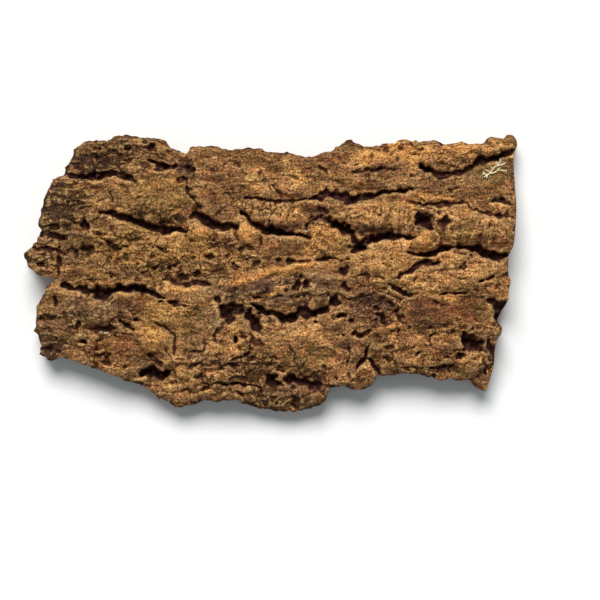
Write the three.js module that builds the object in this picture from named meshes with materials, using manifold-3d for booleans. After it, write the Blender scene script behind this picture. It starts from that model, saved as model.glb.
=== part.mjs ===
// A slab of cork oak bark, lying with its outer face up and its hollow inner face down.
// Millimetres. X runs along the grain, Y across it, Z is up, and the slab rests on z = 0.
import * as THREE from "three";
import { mergeVertices } from "three/addons/utils/BufferGeometryUtils.js";
import Module from "manifold-3d";

// Driving dimensions of the slab
const LENGTH = 300;
const WIDTH = 170;
const THICK_CENTRE = 24;
const THICK_EDGE = 16;
const ARCH_RISE = 8;
const ARCH_CLEARANCE = 1;
const END_DROOP = 6;
const DROOP_START = -95;
const RIM_DROP = 1.6;
const RIM_ROUND = 4;
const THINNEST = 5;

// Relief of the weathered surface: height and wavelength along and across the grain
const SWELL_NOISE = { height: 1.3, along: 26, across: 13, seed: 3 };
const LUMP_NOISE = { height: 0.8, along: 11, across: 6.5, seed: 11 };
const WANDER = { shift: 1.1, length: 9, seedX: 21, seedY: 22 };
const WALL_NOISE = { length: 8, seed: 31 };

// Section of a fissure: the plate behind it rounds over into it, the plate before it ends in a wall.
// Shoulders are shares of the depth, spreads are in half widths, and powers say how sharp a side is.
const BANK = { shoulder: 0.24, spread: 1.15, power: 3 };
const WALL = { shoulder: 0.1, spread: 0.8, power: 5 };
const SHOULDER_SPREAD = 3;
const FISSURE_END = 0.3;

// Feet: the three low spots of the inner face that touch the ground
const FEET = [[-96, 64], [114, 62], [2, -66]];
const FOOT_FLAT = 15;
const FOOT_FADE = 34;

// Facets along and across the outer face, how strongly they gather in the fissures,
// and how many of them one facet of the inner face spans
const COLUMNS = 72;
const ROWS = 54;
const GATHER = 1.2;
const GATHER_DEPTH = 7;
const ROW_SAMPLES = 216;
const ROW_SMOOTHING = 4;
const INNER_STEP = 3;
const WALL_WAIST = 0.5;
const WALL_BITE = 1.6;

// Plan outline, as four edges that meet at the corners
const FRONT_EDGE = [
  [-142.5, -50], [-134, -53.5], [-127, -51.5], [-117, -54.5], [-110, -58], [-96, -62.5], [-86, -66],
  [-77, -70], [-70, -77], [-66, -77.5], [-56, -82], [-44, -78.5], [-34, -79], [-20, -78], [-17, -80],
  [-4, -82.5], [6, -85], [22, -83.5], [29, -80.5], [33.5, -75], [35, -70.5], [44, -69.5], [50, -71.5],
  [58, -69.5], [63, -65], [67, -63], [88, -62], [104, -64.5], [112, -65.5], [121, -65], [124, -69],
  [128, -72], [131, -72],
];
const RIGHT_EDGE = [
  [131, -72], [134, -62], [135.5, -56], [136.5, -42], [139.5, -37], [140, -33], [138, -30], [139, -26],
  [143.5, -17], [144, -10], [145, -5], [143.5, 0], [144, 10], [147, 18], [148.5, 34], [148.5, 46],
  [147.5, 66], [148, 73], [150, 78], [149.5, 82], [147.5, 84.5],
];
const BACK_EDGE = [
  [-116, 80], [-109, 81.5], [-105, 80.5], [-95, 84.5], [-91, 83.5], [-87, 84.5], [-79, 82.5], [-75, 83.5],
  [-66, 81], [-62, 77], [-54, 73], [-51.5, 73], [-50.5, 76], [-46, 77.5], [-36, 77.5], [-24, 76], [-8, 76.5],
  [-2, 74.5], [12, 73.5], [19, 71], [28, 73], [36, 75.5], [41, 77], [48, 81.5], [54, 78.5], [60, 77.5],
  [70, 79.5], [76, 80], [80, 82.5], [92, 81], [100, 82], [106, 79.5], [120, 80], [128, 80], [132, 82.5],
  [140, 83.5], [144.5, 85], [147.5, 84.5],
];
const LEFT_EDGE = [
  [-142.5, -50], [-141.5, -41], [-145, -34], [-143, -20], [-139, -12], [-131.5, -2.5], [-136, -1.5],
  [-142.5, -1], [-149, 4], [-150, 9], [-149, 14.5], [-143, 20.5], [-141.5, 27], [-142.5, 31], [-139.5, 42],
  [-137.5, 49], [-133, 57], [-127.5, 60.5], [-123, 69], [-120, 76.5], [-116, 80],
];

// Fissures: centre line from left to right, half width at half depth, depth, and where the
// plate behind the fissure slopes into it, the half width of that bank
const FISSURES = [
  // the back row of plates
  {
    path: [[-130, 60], [-118, 59.5], [-106, 59], [-96, 60], [-88, 58.5], [-84, 55]],
    half: 2.2, depth: 8, bank: 7,
  },
  { path: [[-75, 69.5], [-70, 66], [-64, 64.5], [-58, 67]], half: 2.6, depth: 8 },
  { path: [[-56, 66], [-50, 64], [-47, 65]], half: 2, depth: 5 },
  { path: [[48, 61.5], [56, 62], [63, 62.6], [70, 63.5], [76, 62]], half: 1.5, depth: 6 },
  { path: [[90, 67], [93, 63.5], [99, 62.5], [103, 59.8], [109, 60.3], [119, 62.6]], half: 2.4, depth: 9 },
  { path: [[117, 62], [124, 65.5], [131, 68.6], [138, 71], [144, 73], [149, 76]], half: 2.2, depth: 8 },
  // the crack above the middle of the slab
  {
    path: [[-17, 46.5], [-10, 46], [-4, 44], [3, 43], [10, 43], [16, 44], [22, 45.5]],
    half: 1.5, depth: 6,
  },
  { path: [[0, 53], [3.5, 48.5], [8, 44.5], [13, 43.5]], half: 1.6, depth: 6 },
  {
    path: [[22, 45.5], [27, 47.5], [34, 48], [42, 47.3], [50, 45.5], [57, 46.5], [64, 47.5]],
    half: 2.6, depth: 9,
  },
  { path: [[64, 47.5], [70, 49], [78, 49.8], [86, 50.8]], half: 1.9, depth: 8 },
  // the long crack that crosses from the left end to the middle
  { path: [[-104, 36.5], [-96, 34], [-88, 32], [-80, 30], [-75, 27]], half: 1.6, depth: 8, bank: 3.5 },
  {
    path: [[-76, 27], [-71, 25.5], [-65, 26.3], [-60, 27.2], [-54, 25.6], [-50, 25]],
    half: 2.6, depth: 12,
  },
  {
    path: [[-50, 26], [-47.5, 33], [-44, 34.5], [-38, 31.5], [-32, 29], [-21, 28.5]],
    half: 2.6, depth: 11,
  },
  {
    path: [[-20, 37], [-15, 33.5], [-10, 28.5], [-4, 25.5], [4, 24.8], [12, 23.5], [24, 21]],
    half: 2.3, depth: 14,
  },
  { path: [[19, 24], [20.5, 29], [24, 32.5], [30, 33], [34, 31.5]], half: 1.8, depth: 8 },
  { path: [[34, 31.5], [38, 28.5], [44, 27.5], [48, 24.5], [51, 20], [52, 16.5]], half: 2.8, depth: 12 },
  {
    path: [[48, 12.5], [52, 16.5], [56, 19.5], [63, 21], [76, 22.5], [82, 20.8], [87, 20.5]],
    half: 2.2, depth: 13,
  },
  // round the large lump at the right end
  { path: [[83, 43.5], [95, 42], [100, 41.2], [106, 43.2], [112, 43.4], [117, 42.3]], half: 1.5, depth: 5 },
  { path: [[117, 42.3], [122, 39], [128, 37.3], [134, 36], [141, 34.8], [147, 34]], half: 1.5, depth: 5 },
  { path: [[134, 42.5], [140, 43.6], [147, 42]], half: 1.6, depth: 5 },
  { path: [[88, 36], [90, 31], [94, 27.5], [97, 26.5]], half: 3.2, depth: 9 },
  { path: [[82, 12], [90, 10.6], [96, 11.5], [101, 13], [106, 15], [112, 16.3]], half: 2.4, depth: 11 },
  { path: [[112, 16.3], [118, 16], [125, 14], [131, 12], [138, 10], [145, 9]], half: 2.7, depth: 12 },
  { path: [[76, -2.8], [80, -1], [84, 0.8], [88, 3.8], [92, 6.2], [97, 5], [102, 6]], half: 2.2, depth: 8 },
  { path: [[71, -7], [75, -9.5], [80, -13], [85, -14]], half: 1.7, depth: 7 },
  { path: [[126, -5.5], [131, -4], [134, -1]], half: 1.4, depth: 5 },
  // the sawn right end and the front corner beside it
  { path: [[132, -16], [137, -18], [143, -17]], half: 2.2, depth: 8 },
  { path: [[137, -18], [137.5, -24], [137.5, -30]], half: 2.6, depth: 9 },
  { path: [[116.5, -37], [119, -41], [122, -44.5], [127, -48]], half: 2.6, depth: 11 },
  { path: [[131, -40], [133, -46], [136, -51]], half: 2.2, depth: 6 },
  { path: [[113, -53], [115, -50], [118, -48.8]], half: 1.5, depth: 6 },
  { path: [[126, -48.5], [128.5, -53], [130.5, -58], [130, -62]], half: 1.5, depth: 5 },
  // the front right splits
  { path: [[51, -59], [54, -54], [57.5, -50], [58.5, -46], [59.5, -43]], half: 1.8, depth: 9 },
  { path: [[58, -50.5], [61.5, -54], [63, -58.5], [65.5, -62.5]], half: 1.8, depth: 8 },
  { path: [[49, -36], [53, -38], [58, -37.5], [61, -36]], half: 2, depth: 7 },
  { path: [[63, -25], [67, -27], [68.5, -31]], half: 1.5, depth: 6 },
  // the knot of hollows in the middle
  { path: [[-33, -20], [-29, -25], [-24, -28.5]], half: 4.2, depth: 10 },
  { path: [[-29, -22], [-23, -22.5], [-17, -21.5]], half: 3, depth: 8 },
  { path: [[-15, -24.5], [-13, -28.5], [-9, -34], [-7.5, -38]], half: 2.6, depth: 9 },
  { path: [[-10, -21.5], [-5, -23.5], [1, -25.5], [8, -26], [15, -27]], half: 2.4, depth: 10 },
  { path: [[19, -22], [25, -24], [32, -23]], half: 1.6, depth: 5 },
  // the front edge
  {
    path: [[-40, -68], [-33, -68.5], [-27, -69], [-21, -68.3], [-14, -69], [-7, -71.5]],
    half: 1.6, depth: 7,
  },
  { path: [[8, -64], [13, -65], [18, -67], [24, -67.5], [30, -69]], half: 2.2, depth: 7 },
  { path: [[-81, -60.5], [-75, -60], [-69, -62.5], [-63, -60.5]], half: 2.8, depth: 9 },
  { path: [[-76, -50], [-72, -52.5], [-67, -56.5]], half: 2.2, depth: 6 },
  // the left end
  { path: [[-129, -8], [-122, -9.2], [-114, -10.5], [-107, -12.5], [-101, -13.3]], half: 2.3, depth: 9 },
  {
    path: [[-101, -13.3], [-97, -11], [-90, -9.6], [-83, -10], [-76, -11.8], [-65, -15.5]],
    half: 2.6, depth: 11,
  },
  { path: [[-66, -3.5], [-58, -6], [-51, -7], [-44, -6.5], [-38, -8]], half: 2.6, depth: 5 },
  { path: [[-143, 24], [-134, 22.5], [-126, 20.5]], half: 2.2, depth: 4 },
  { path: [[-104, 21.5], [-98, 18.5], [-93, 13.5]], half: 1.9, depth: 5 },
  { path: [[-147, 14.5], [-138, 14], [-130, 13.5], [-125, 11]], half: 1.5, depth: 4.5 },
  { path: [[-130.5, 10], [-129.5, 5], [-130.5, -1]], half: 1.3, depth: 5 },
  { path: [[-93, -29], [-89, -31], [-85, -34.5]], half: 1.6, depth: 6 },
  { path: [[-72, -30], [-66, -32.5], [-61.5, -37], [-59, -42], [-59.5, -48]], half: 1.5, depth: 6 },
  { path: [[-133.5, -14], [-132, -20]], half: 1.6, depth: 5 },
];

// Pits: centre, half sizes along X and Y, depth
const PITS = [
  [-74, 78, 3.5, 3, 4], [105, 31.5, 2.3, 3.6, 6], [30, 37.5, 4, 2.6, 5], [17, -7, 3.2, 2.6, 6],
  [-22.5, -40.5, 1.8, 2.2, 6], [-7, -43, 3, 2, 4], [38.5, -18, 3, 2.6, 7], [45, 1, 2.6, 2, 6],
  [44.5, -9, 2.2, 1.6, 5], [42, -26.5, 2.4, 1.3, 5], [48.5, -30, 2.2, 1.6, 6], [0.5, -65.5, 2.4, 2.2, 6],
  [26, -70, 2.6, 2.2, 5], [-113.5, 14, 4.5, 2.6, 4], [-113.5, 29, 2.2, 1.8, 5], [-114.5, -42.3, 3, 1.8, 6],
  [-101, -34.5, 3.6, 1.8, 4], [-101, -54, 1.7, 3, 4], [-136, -47, 3, 2, 4],
];

// Plates and lumps that stand up: centre, half sizes, turn in degrees, height
const PLATES = [
  [-72, 45, 24, 17, -5, 3], [-35, 53, 19, 23, 0, 2.5], [12, 54, 15, 8, -8, 2], [2, 35, 20, 7, -4, 2.5],
  [62, 35, 26, 11, 3, 4], [122, 28, 27, 13, -6, 4.5], [-41, 22, 10, 8, 0, 3], [-14, 24, 8, 8, 0, 3],
  [34, 20, 14, 11, -10, 3], [66, 9, 22, 10, 8, 3], [92, 20, 9, 6, 35, 3.5], [112, -3, 26, 10, 3, 3],
  [110, 7, 10, 5, 10, 2.5], [-72, -40, 12, 9, -8, 2.5], [12, -44, 28, 15, -3, 3], [82, -48, 22, 13, 0, 2],
  [122, -55, 12, 8, 10, 3], [-110, -25, 22, 9, 5, 2], [-8, -8, 9, 5, 20, 2], [-140, 7, 11, 9, 0, 2],
  [-96, 78, 20, 8, 5, 2], [110, 74, 34, 8, 4, 2.5], [-70, 12, 24, 10, 0, 2], [70, 55, 30, 5, 0, 1.5],
  [-45, -65, 20, 10, -5, 2], [12, -77, 22, 7, 0, 2.5],
];

// Lichen sprig at the back right: branches as plan points with their lift off the bark
const LICHEN_RADIUS = 0.45;
const LICHEN_SIDES = 6;
const LICHEN_GAP = 0.3;
const LICHEN_STEPS = 2;
const LICHEN_ROOT = [133.1, 61];
const LICHEN_BRANCHES = [
  [[133.1, 61, 0.4], [134.2, 63.2, 0.9], [136.9, 65.7, 1.4], [139.4, 67.6, 1.8], [138.8, 69.8, 2.2]],
  [[136.4, 65.3, 1.3], [139.4, 65.4, 1.7], [142.6, 67.1, 2.2]],
  [[133.4, 61.4, 0.5], [131.6, 61.7, 0.9], [130.1, 62.9, 1.5]],
  [[134.3, 63.4, 1], [133.4, 64.8, 1.8]],
  [[133, 60.8, 0.4], [134.9, 60.6, 0.8], [137.2, 62.6, 1.2], [140.4, 62.6, 1.5], [143, 62, 1.9]],
  [[133.3, 61.2, 0.4], [131.2, 59.6, 0.8], [129, 58.4, 1.2]],
  [[131.6, 59.9, 0.7], [129.6, 60.4, 1.2], [127.9, 60, 1.6]],
];

// Colours of the weathered cork and of the lichen
const CORK_BROWN = 0x7b5536;
const LICHEN_CREAM = 0xd8cba0;

const clamp01 = (t) => Math.min(1, Math.max(0, t));
const fade = (from, to, value) => {
  const t = clamp01((value - from) / (to - from));
  return t * t * (3 - 2 * t);
};
const mix = (a, b, t) => a + (b - a) * t;

// A repeatable number from 0 to 1 for each corner of a noise lattice
function lattice(i, j, seed) {
  let h = Math.imul(i, 374761393) ^ Math.imul(j, 668265263) ^ Math.imul(seed, 1274126177);
  h = Math.imul(h ^ (h >>> 15), 2246822519);
  h = Math.imul(h ^ (h >>> 13), 3266489917);
  return ((h ^ (h >>> 16)) >>> 0) / 2 ** 32;
}

// Smooth noise from -1 to 1 with a lattice of unit cells
function noise(x, y, seed) {
  const i = Math.floor(x);
  const j = Math.floor(y);
  const s = fade(0, 1, x - i);
  const t = fade(0, 1, y - j);
  const low = mix(lattice(i, j, seed), lattice(i + 1, j, seed), s);
  const high = mix(lattice(i, j + 1, seed), lattice(i + 1, j + 1, seed), s);
  return 2 * mix(low, high, t) - 1;
}

const relief = (n, x, y) => n.height * noise(x / n.along, y / n.across, n.seed);

// Distance from a point to a polyline, positive on its left side, and the share of its length passed
function follow(path, x, y) {
  const runs = path.slice(1).map(([bx, by], k) => Math.hypot(bx - path[k][0], by - path[k][1]));
  const whole = runs.reduce((sum, run) => sum + run, 0);
  let nearest = Infinity;
  let side = 1;
  let share = 0;
  let passed = 0;
  for (let k = 0; k + 1 < path.length; k++) {
    const [ax, ay] = path[k];
    const dx = path[k + 1][0] - ax;
    const dy = path[k + 1][1] - ay;
    const t = clamp01(((x - ax) * dx + (y - ay) * dy) / runs[k] ** 2);
    const distance = Math.hypot(x - ax - t * dx, y - ay - t * dy);
    if (distance < nearest) {
      nearest = distance;
      side = dx * (y - ay) - dy * (x - ax) >= 0 ? 1 : -1;
      share = (passed + t * runs[k]) / whole;
    }
    passed += runs[k];
  }
  return [side * nearest, share];
}

// Depth that the fissures and pits take out of the bark at a point. A fissure narrows to its ends.
function carved(x, y) {
  const wx = x + WANDER.shift * noise(x / WANDER.length, y / WANDER.length, WANDER.seedX);
  const wy = y + WANDER.shift * noise(x / WANDER.length, y / WANDER.length, WANDER.seedY);
  let deepest = 0;
  for (const { path, half, depth, bank = half } of FISSURES) {
    const [signed, share] = follow(path, wx, wy);
    const taper = mix(FISSURE_END, 1, Math.sqrt(clamp01(4 * share * (1 - share))));
    const side = signed > 0 ? BANK : WALL;
    const reach = Math.abs(signed) / (side.spread * (signed > 0 ? bank : half) * taper);
    const core = 1 / (1 + reach ** side.power);
    const shoulder = side.shoulder * Math.exp(-((reach / SHOULDER_SPREAD) ** 2));
    deepest = Math.max(deepest, depth * Math.sqrt(taper) * Math.max(core, shoulder));
  }
  for (const [px, py, rx, ry, depth] of PITS) {
    const reach = Math.hypot((wx - px) / rx, (wy - py) / ry);
    deepest = Math.max(deepest, depth / (1 + reach ** 4));
  }
  return deepest;
}

// Height that the plates and lumps add at a point
function raised(x, y) {
  let height = 0;
  for (const [px, py, rx, ry, turn, rise] of PLATES) {
    const angle = THREE.MathUtils.degToRad(turn);
    const along = (x - px) * Math.cos(angle) + (y - py) * Math.sin(angle);
    const across = (y - py) * Math.cos(angle) - (x - px) * Math.sin(angle);
    const inside = 1 - (along / rx) ** 2 - (across / ry) ** 2;
    if (inside > 0) height += rise * inside * inside * (3 - 2 * inside);
  }
  return height;
}

// The hollow inner face, which comes down flat to the ground at the feet
function innerFace(x, y) {
  const arch = ARCH_CLEARANCE + ARCH_RISE * (1 - (2 * y / WIDTH) ** 2);
  return FEET.reduce(
    (z, [fx, fy]) => z * fade(FOOT_FLAT, FOOT_FADE, Math.hypot(x - fx, y - fy)),
    Math.max(0, arch),
  );
}

// The outer face: an arch that droops at the left end, with plates, lumps and fissures.
// rim is the distance to the nearest edge of the slab, where the face rounds over.
function outerFace(x, y, rim) {
  const across = (2 * y / WIDTH) ** 2;
  const arch = ARCH_CLEARANCE + ARCH_RISE * (1 - across);
  const thick = mix(THICK_CENTRE, THICK_EDGE, across);
  const droop = END_DROOP * clamp01((DROOP_START - x) / (DROOP_START + LENGTH / 2)) ** 2;
  const rounding = RIM_DROP * (1 - fade(0, RIM_ROUND, rim));
  const z = arch + thick - droop - rounding + raised(x, y) - carved(x, y)
    + relief(SWELL_NOISE, x, y) + relief(LUMP_NOISE, x, y);
  return Math.max(z, innerFace(x, y) + THINNEST);
}

const edgeCurve = (points) => new THREE.SplineCurve(points.map(([x, y]) => new THREE.Vector2(x, y)));
const front = edgeCurve(FRONT_EDGE);
const right = edgeCurve(RIGHT_EDGE);
const back = edgeCurve(BACK_EDGE);
const left = edgeCurve(LEFT_EDGE);

// Plan point of the slab for u along the grain and v across it, both from 0 to 1
function planPoint(u, v) {
  const f = front.getPointAt(u);
  const b = back.getPointAt(u);
  const l = left.getPointAt(v);
  const r = right.getPointAt(v);
  const corner = (axis) => mix(
    mix(front.points[0][axis], front.points.at(-1)[axis], u),
    mix(back.points[0][axis], back.points.at(-1)[axis], u),
    v,
  );
  const blend = (axis) => mix(f[axis], b[axis], v) + mix(l[axis], r[axis], u) - corner(axis);
  return [blend("x"), blend("y")];
}

const rimDistance = (u, v) => Math.min(u * LENGTH, (1 - u) * LENGTH, v * WIDTH, (1 - v) * WIDTH);

// Rows of one column, closer together where the bark is carved
function gatheredRows(u) {
  const weights = [0];
  for (let k = 0; k < ROW_SAMPLES; k++) {
    const [x, y] = planPoint(u, (k + 0.5) / ROW_SAMPLES);
    weights.push(weights[k] + 1 + GATHER * carved(x, y) / GATHER_DEPTH);
  }
  const rows = [];
  let k = 0;
  for (let j = 0; j <= ROWS; j++) {
    const target = weights[ROW_SAMPLES] * j / ROWS;
    while (k < ROW_SAMPLES - 1 && weights[k + 1] < target) k++;
    const part = (target - weights[k]) / (weights[k + 1] - weights[k]);
    rows.push((k + clamp01(part)) / ROW_SAMPLES);
  }
  return rows;
}

// Rows of every column, averaged with their neighbours so that they run smoothly along the grain.
// The two ends keep even rows, which the coarser inner face shares.
function smoothedRows() {
  const even = Array.from({ length: ROWS + 1 }, (_, j) => j / ROWS);
  const gathered = Array.from({ length: COLUMNS + 1 }, (_, i) => gatheredRows(i / COLUMNS));
  return gathered.map((_, i) => {
    const reach = Math.min(ROW_SMOOTHING, i, COLUMNS - i);
    if (reach === 0) return even;
    const near = gathered.slice(i - reach, i + reach + 1);
    return even.map((_, j) => near.reduce((sum, rows) => sum + rows[j], 0) / near.length);
  });
}

// The bark slab as one closed surface: outer face, inner face and a bitten wall between them
function barkGeometry() {
  const positions = [];
  const triangles = [];
  const vertex = (x, y, z) => positions.push(x, y, z) / 3 - 1;
  const quad = (a, b, c, d) => triangles.push(a, b, c, a, c, d);

  const outer = [];
  const plan = [];
  const rows = smoothedRows();
  for (let i = 0; i <= COLUMNS; i++) {
    const u = i / COLUMNS;
    plan.push(rows[i].map((v) => planPoint(u, v)));
    outer.push(plan[i].map(([x, y], j) => vertex(x, y, outerFace(x, y, rimDistance(u, rows[i][j])))));
  }
  for (let i = 0; i < COLUMNS; i++) {
    for (let j = 0; j < ROWS; j++) {
      quad(outer[i][j], outer[i + 1][j], outer[i + 1][j + 1], outer[i][j + 1]);
    }
  }

  const inner = [];
  for (let i = 0; i <= COLUMNS; i += INNER_STEP) {
    const column = [];
    for (let j = 0; j <= ROWS; j += INNER_STEP) {
      const [x, y] = planPoint(i / COLUMNS, j / ROWS);
      column.push(vertex(x, y, innerFace(x, y)));
    }
    inner.push(column);
  }
  for (let i = 0; i + 1 < inner.length; i++) {
    for (let j = 0; j + 1 < inner[0].length; j++) {
      quad(inner[i][j], inner[i][j + 1], inner[i + 1][j + 1], inner[i + 1][j]);
    }
  }

  // grid corners round the rim, counter-clockwise seen from above
  const rim = [];
  for (let i = 0; i < COLUMNS; i++) rim.push([i, 0]);
  for (let j = 0; j < ROWS; j++) rim.push([COLUMNS, j]);
  for (let i = COLUMNS; i > 0; i--) rim.push([i, ROWS]);
  for (let j = ROWS; j > 0; j--) rim.push([0, j]);
  const planAt = (k) => {
    const [i, j] = rim.at(k % rim.length);
    return plan[i][j];
  };
  const waist = rim.map(([i, j], k) => {
    const [x, y] = planAt(k);
    const [px, py] = planAt(k - 1);
    const [nx, ny] = planAt(k + 1);
    const run = Math.hypot(nx - px, ny - py);
    const sawn = i === COLUMNS;
    const bite = sawn ? 0 : WALL_BITE * (1 + noise(k / WALL_NOISE.length, 0, WALL_NOISE.seed));
    const top = positions[3 * outer[i][j] + 2];
    const z = mix(innerFace(x, y), top, WALL_WAIST);
    return vertex(x - bite * (ny - py) / run, y + bite * (nx - px) / run, z);
  });
  const innerAt = (k) => {
    const [i, j] = rim[k % rim.length];
    return inner[Math.round(i / INNER_STEP)][Math.round(j / INNER_STEP)];
  };
  for (let k = 0; k < rim.length; k++) {
    const next = (k + 1) % rim.length;
    const [i, j] = rim[k];
    const [ni, nj] = rim[next];
    quad(outer[i][j], waist[k], waist[next], outer[ni][nj]);
    triangles.push(waist[k], innerAt(k), waist[next]);
    if (innerAt(k) !== innerAt(next)) triangles.push(innerAt(k), innerAt(next), waist[next]);
  }

  const geometry = new THREE.BufferGeometry();
  geometry.setAttribute("position", new THREE.Float32BufferAttribute(positions, 3));
  geometry.setIndex(triangles);
  geometry.computeVertexNormals();
  return geometry;
}

const wasm = await Module();
wasm.setup();

// A closed three.js geometry as a solid that can be joined
function solid(geometry) {
  const bare = geometry.clone();
  bare.deleteAttribute("normal");
  bare.deleteAttribute("uv");
  const merged = mergeVertices(bare);
  return new wasm.Manifold(new wasm.Mesh({
    numProp: 3,
    vertProperties: merged.attributes.position.array,
    triVerts: new Uint32Array(merged.index.array),
  }));
}

function geometryOf(manifold) {
  const { vertProperties, triVerts } = manifold.getMesh();
  const geometry = new THREE.BufferGeometry();
  geometry.setAttribute("position", new THREE.BufferAttribute(vertProperties, 3));
  geometry.setIndex(new THREE.BufferAttribute(triVerts, 1));
  geometry.computeVertexNormals();
  return geometry;
}

// A round twig along a smooth curve through the given points
function twig(points) {
  const profile = new THREE.Shape(
    Array.from({ length: LICHEN_SIDES }, (_, k) => {
      const angle = 2 * Math.PI * k / LICHEN_SIDES;
      return new THREE.Vector2(LICHEN_RADIUS * Math.cos(angle), LICHEN_RADIUS * Math.sin(angle));
    }),
  );
  return solid(new THREE.ExtrudeGeometry(profile, {
    steps: LICHEN_STEPS * (points.length - 1),
    extrudePath: new THREE.CatmullRomCurve3(points),
    bevelEnabled: false,
  }));
}

// The lichen sprig: a holdfast just clear of the bark, and branches that lie over it
function lichenGeometry(bark) {
  const down = new THREE.Vector3(0, 0, -1);
  const sky = THICK_CENTRE * 4;
  const heightAt = (x, y) => {
    const ray = new THREE.Raycaster(new THREE.Vector3(x, y, sky), down);
    return ray.intersectObject(bark)[0].point.z;
  };
  const [rootX, rootY] = LICHEN_ROOT;
  const ledge = heightAt(rootX, rootY) + LICHEN_GAP;
  const place = ([x, y, lift]) => {
    const clear = Math.max(ledge, heightAt(x, y) + LICHEN_GAP);
    return new THREE.Vector3(x, y, clear + LICHEN_RADIUS + lift);
  };
  const holdfast = twig([
    new THREE.Vector3(rootX, rootY, ledge),
    place(LICHEN_BRANCHES[0][0]),
  ]);
  return geometryOf(LICHEN_BRANCHES.reduce((sprig, branch) => sprig.add(twig(branch.map(place))), holdfast));
}

const slab = new THREE.Group();

const bark = new THREE.Mesh(
  barkGeometry(),
  new THREE.MeshStandardMaterial({ color: CORK_BROWN, roughness: 0.9, metalness: 0 }),
);
bark.name = "cork_bark";
slab.add(bark);

const lichen = new THREE.Mesh(
  lichenGeometry(bark),
  new THREE.MeshStandardMaterial({ color: LICHEN_CREAM, roughness: 0.85, metalness: 0 }),
);
lichen.name = "lichen_sprig";
slab.add(lichen);

export default slab;
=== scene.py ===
import math

import bpy
import numpy as np
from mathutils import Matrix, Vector


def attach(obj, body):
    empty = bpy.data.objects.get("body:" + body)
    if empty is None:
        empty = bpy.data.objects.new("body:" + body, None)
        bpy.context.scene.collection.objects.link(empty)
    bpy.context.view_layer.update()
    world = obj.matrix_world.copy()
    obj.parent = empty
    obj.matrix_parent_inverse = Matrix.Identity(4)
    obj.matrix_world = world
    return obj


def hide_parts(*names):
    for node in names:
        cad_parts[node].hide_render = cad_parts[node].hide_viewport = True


# A slab of cork oak bark seen from above, outer face up, with a small lichen sprig on it.
# Shapes are worked out in millimetres and turned to metres when a mesh is placed.
MM = 0.001
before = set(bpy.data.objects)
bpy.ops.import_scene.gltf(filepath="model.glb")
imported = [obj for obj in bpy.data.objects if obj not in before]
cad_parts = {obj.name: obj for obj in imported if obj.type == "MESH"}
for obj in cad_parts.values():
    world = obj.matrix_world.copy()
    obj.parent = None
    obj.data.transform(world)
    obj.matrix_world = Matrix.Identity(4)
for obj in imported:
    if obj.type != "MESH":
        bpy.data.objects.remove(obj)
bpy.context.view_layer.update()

# Driving dimensions of the slab, as in the part's source
LENGTH = 300.0
WIDTH = 170.0
THICK_CENTRE = 24.0
THICK_EDGE = 16.0
ARCH_RISE = 8.0
ARCH_CLEARANCE = 1.0
END_DROOP = 6.0
DROOP_START = -95.0
RIM_DROP = 1.6
RIM_ROUND = 4.0
THINNEST = 5.0
FEET = [(-96, 64), (114, 62), (2, -66)]
FOOT_FLAT = 15.0
FOOT_FADE = 34.0

# Odd numbers that scramble a place and a seed into a repeatable number
SEED_MIX = 1274126177
COLUMN_MIX = 374761393
ROW_MIX = 668265263
FIRST_MIX = 2246822519
LAST_MIX = 3266489917
# Broad relief: height, wavelength along and across the grain, seed
BROAD_RELIEF = [(1.3, 26, 13, 3), (0.8, 11, 6.5, 11)]
# Fine relief of the weathered skin, the same way
FINE_RELIEF = [(0.35, 7.5, 4.2, 41), (0.3, 3.8, 2.4, 42), (0.4, 2.2, 1.6, 43)]
# Wandering, crumbled edges of fissures and flakes: shift, wavelength, seeds
CRUMBLE = [(1.1, 9.0, 21, 22), (0.9, 4.2, 51, 52), (0.5, 2.1, 53, 54)]
# Sections of the fissures: shares of their depth, spreads in half widths, and how sharp each side is
SHOULDER = 0.36
SHOULDER_BEFORE = 0.1
SHOULDER_SPREAD = 3.0
BANK_SPREAD = 1.0
BANK_POWER = 5.0
WALL_SPREAD = 0.75
WALL_POWER = 7.0
# Patterns over the carving: strength, wavelength, seed
FISSURE_SWELL = (0.45, 8.0, 55)
FISSURE_FRAY = (0.45, 3.0, 63)
FLOOR_LUMPS = (0.28, 2.6, 59)
PIT_RAGS = (0.75, 2.6, 60)
CRACK_BREAKS = (0.9, 3.6, 56)
# Width left at the ends of fissures, cracks and ridges
END_WIDTH = 0.3
# Pits: how much deeper the fine surface shows them, and how steep they are
PIT_GAIN = 1.2
PIT_POWER = 5.0
# Thin cracks: how open they are on the whole, at least and at most, how steep they are,
# and the depth of a fissure that swallows them
CRACK_OPEN = 0.7
CRACK_LEAST = 0.15
CRACK_MOST = 1.5
CRACK_POWER = 4
CRACK_LOST = 6.0
# How far flakes keep from the sides of their lattice cell
FLAKE_MARGIN = 0.12
# Jagged rim: shift, wavelength, seeds, and how far in from the rim it reaches
JAGS = [(1.1, 5.0, 95, 96), (0.7, 2.2, 97, 98)]
JAG_REACH = 6.0
# Length that stands for the slab's at its sawn end, so that jags reach less far in there
SAWN_RIM = 1e3

# Cells of the meshes: along and across the outer face, and levels down the broken edge.
# One cell of the inner face spans three of the outer face.
CELLS_ALONG = 366
CELLS_ACROSS = 207
WALL_LEVELS = 8
INNER_SPAN = 3
HALF_LEVEL = 0.5 / WALL_LEVELS
# Share of a cell within which vertices are welded
WELD_SHARE = 0.2
# Steps between two points of an outline curve
CURVE_STEPS = 16

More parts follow.
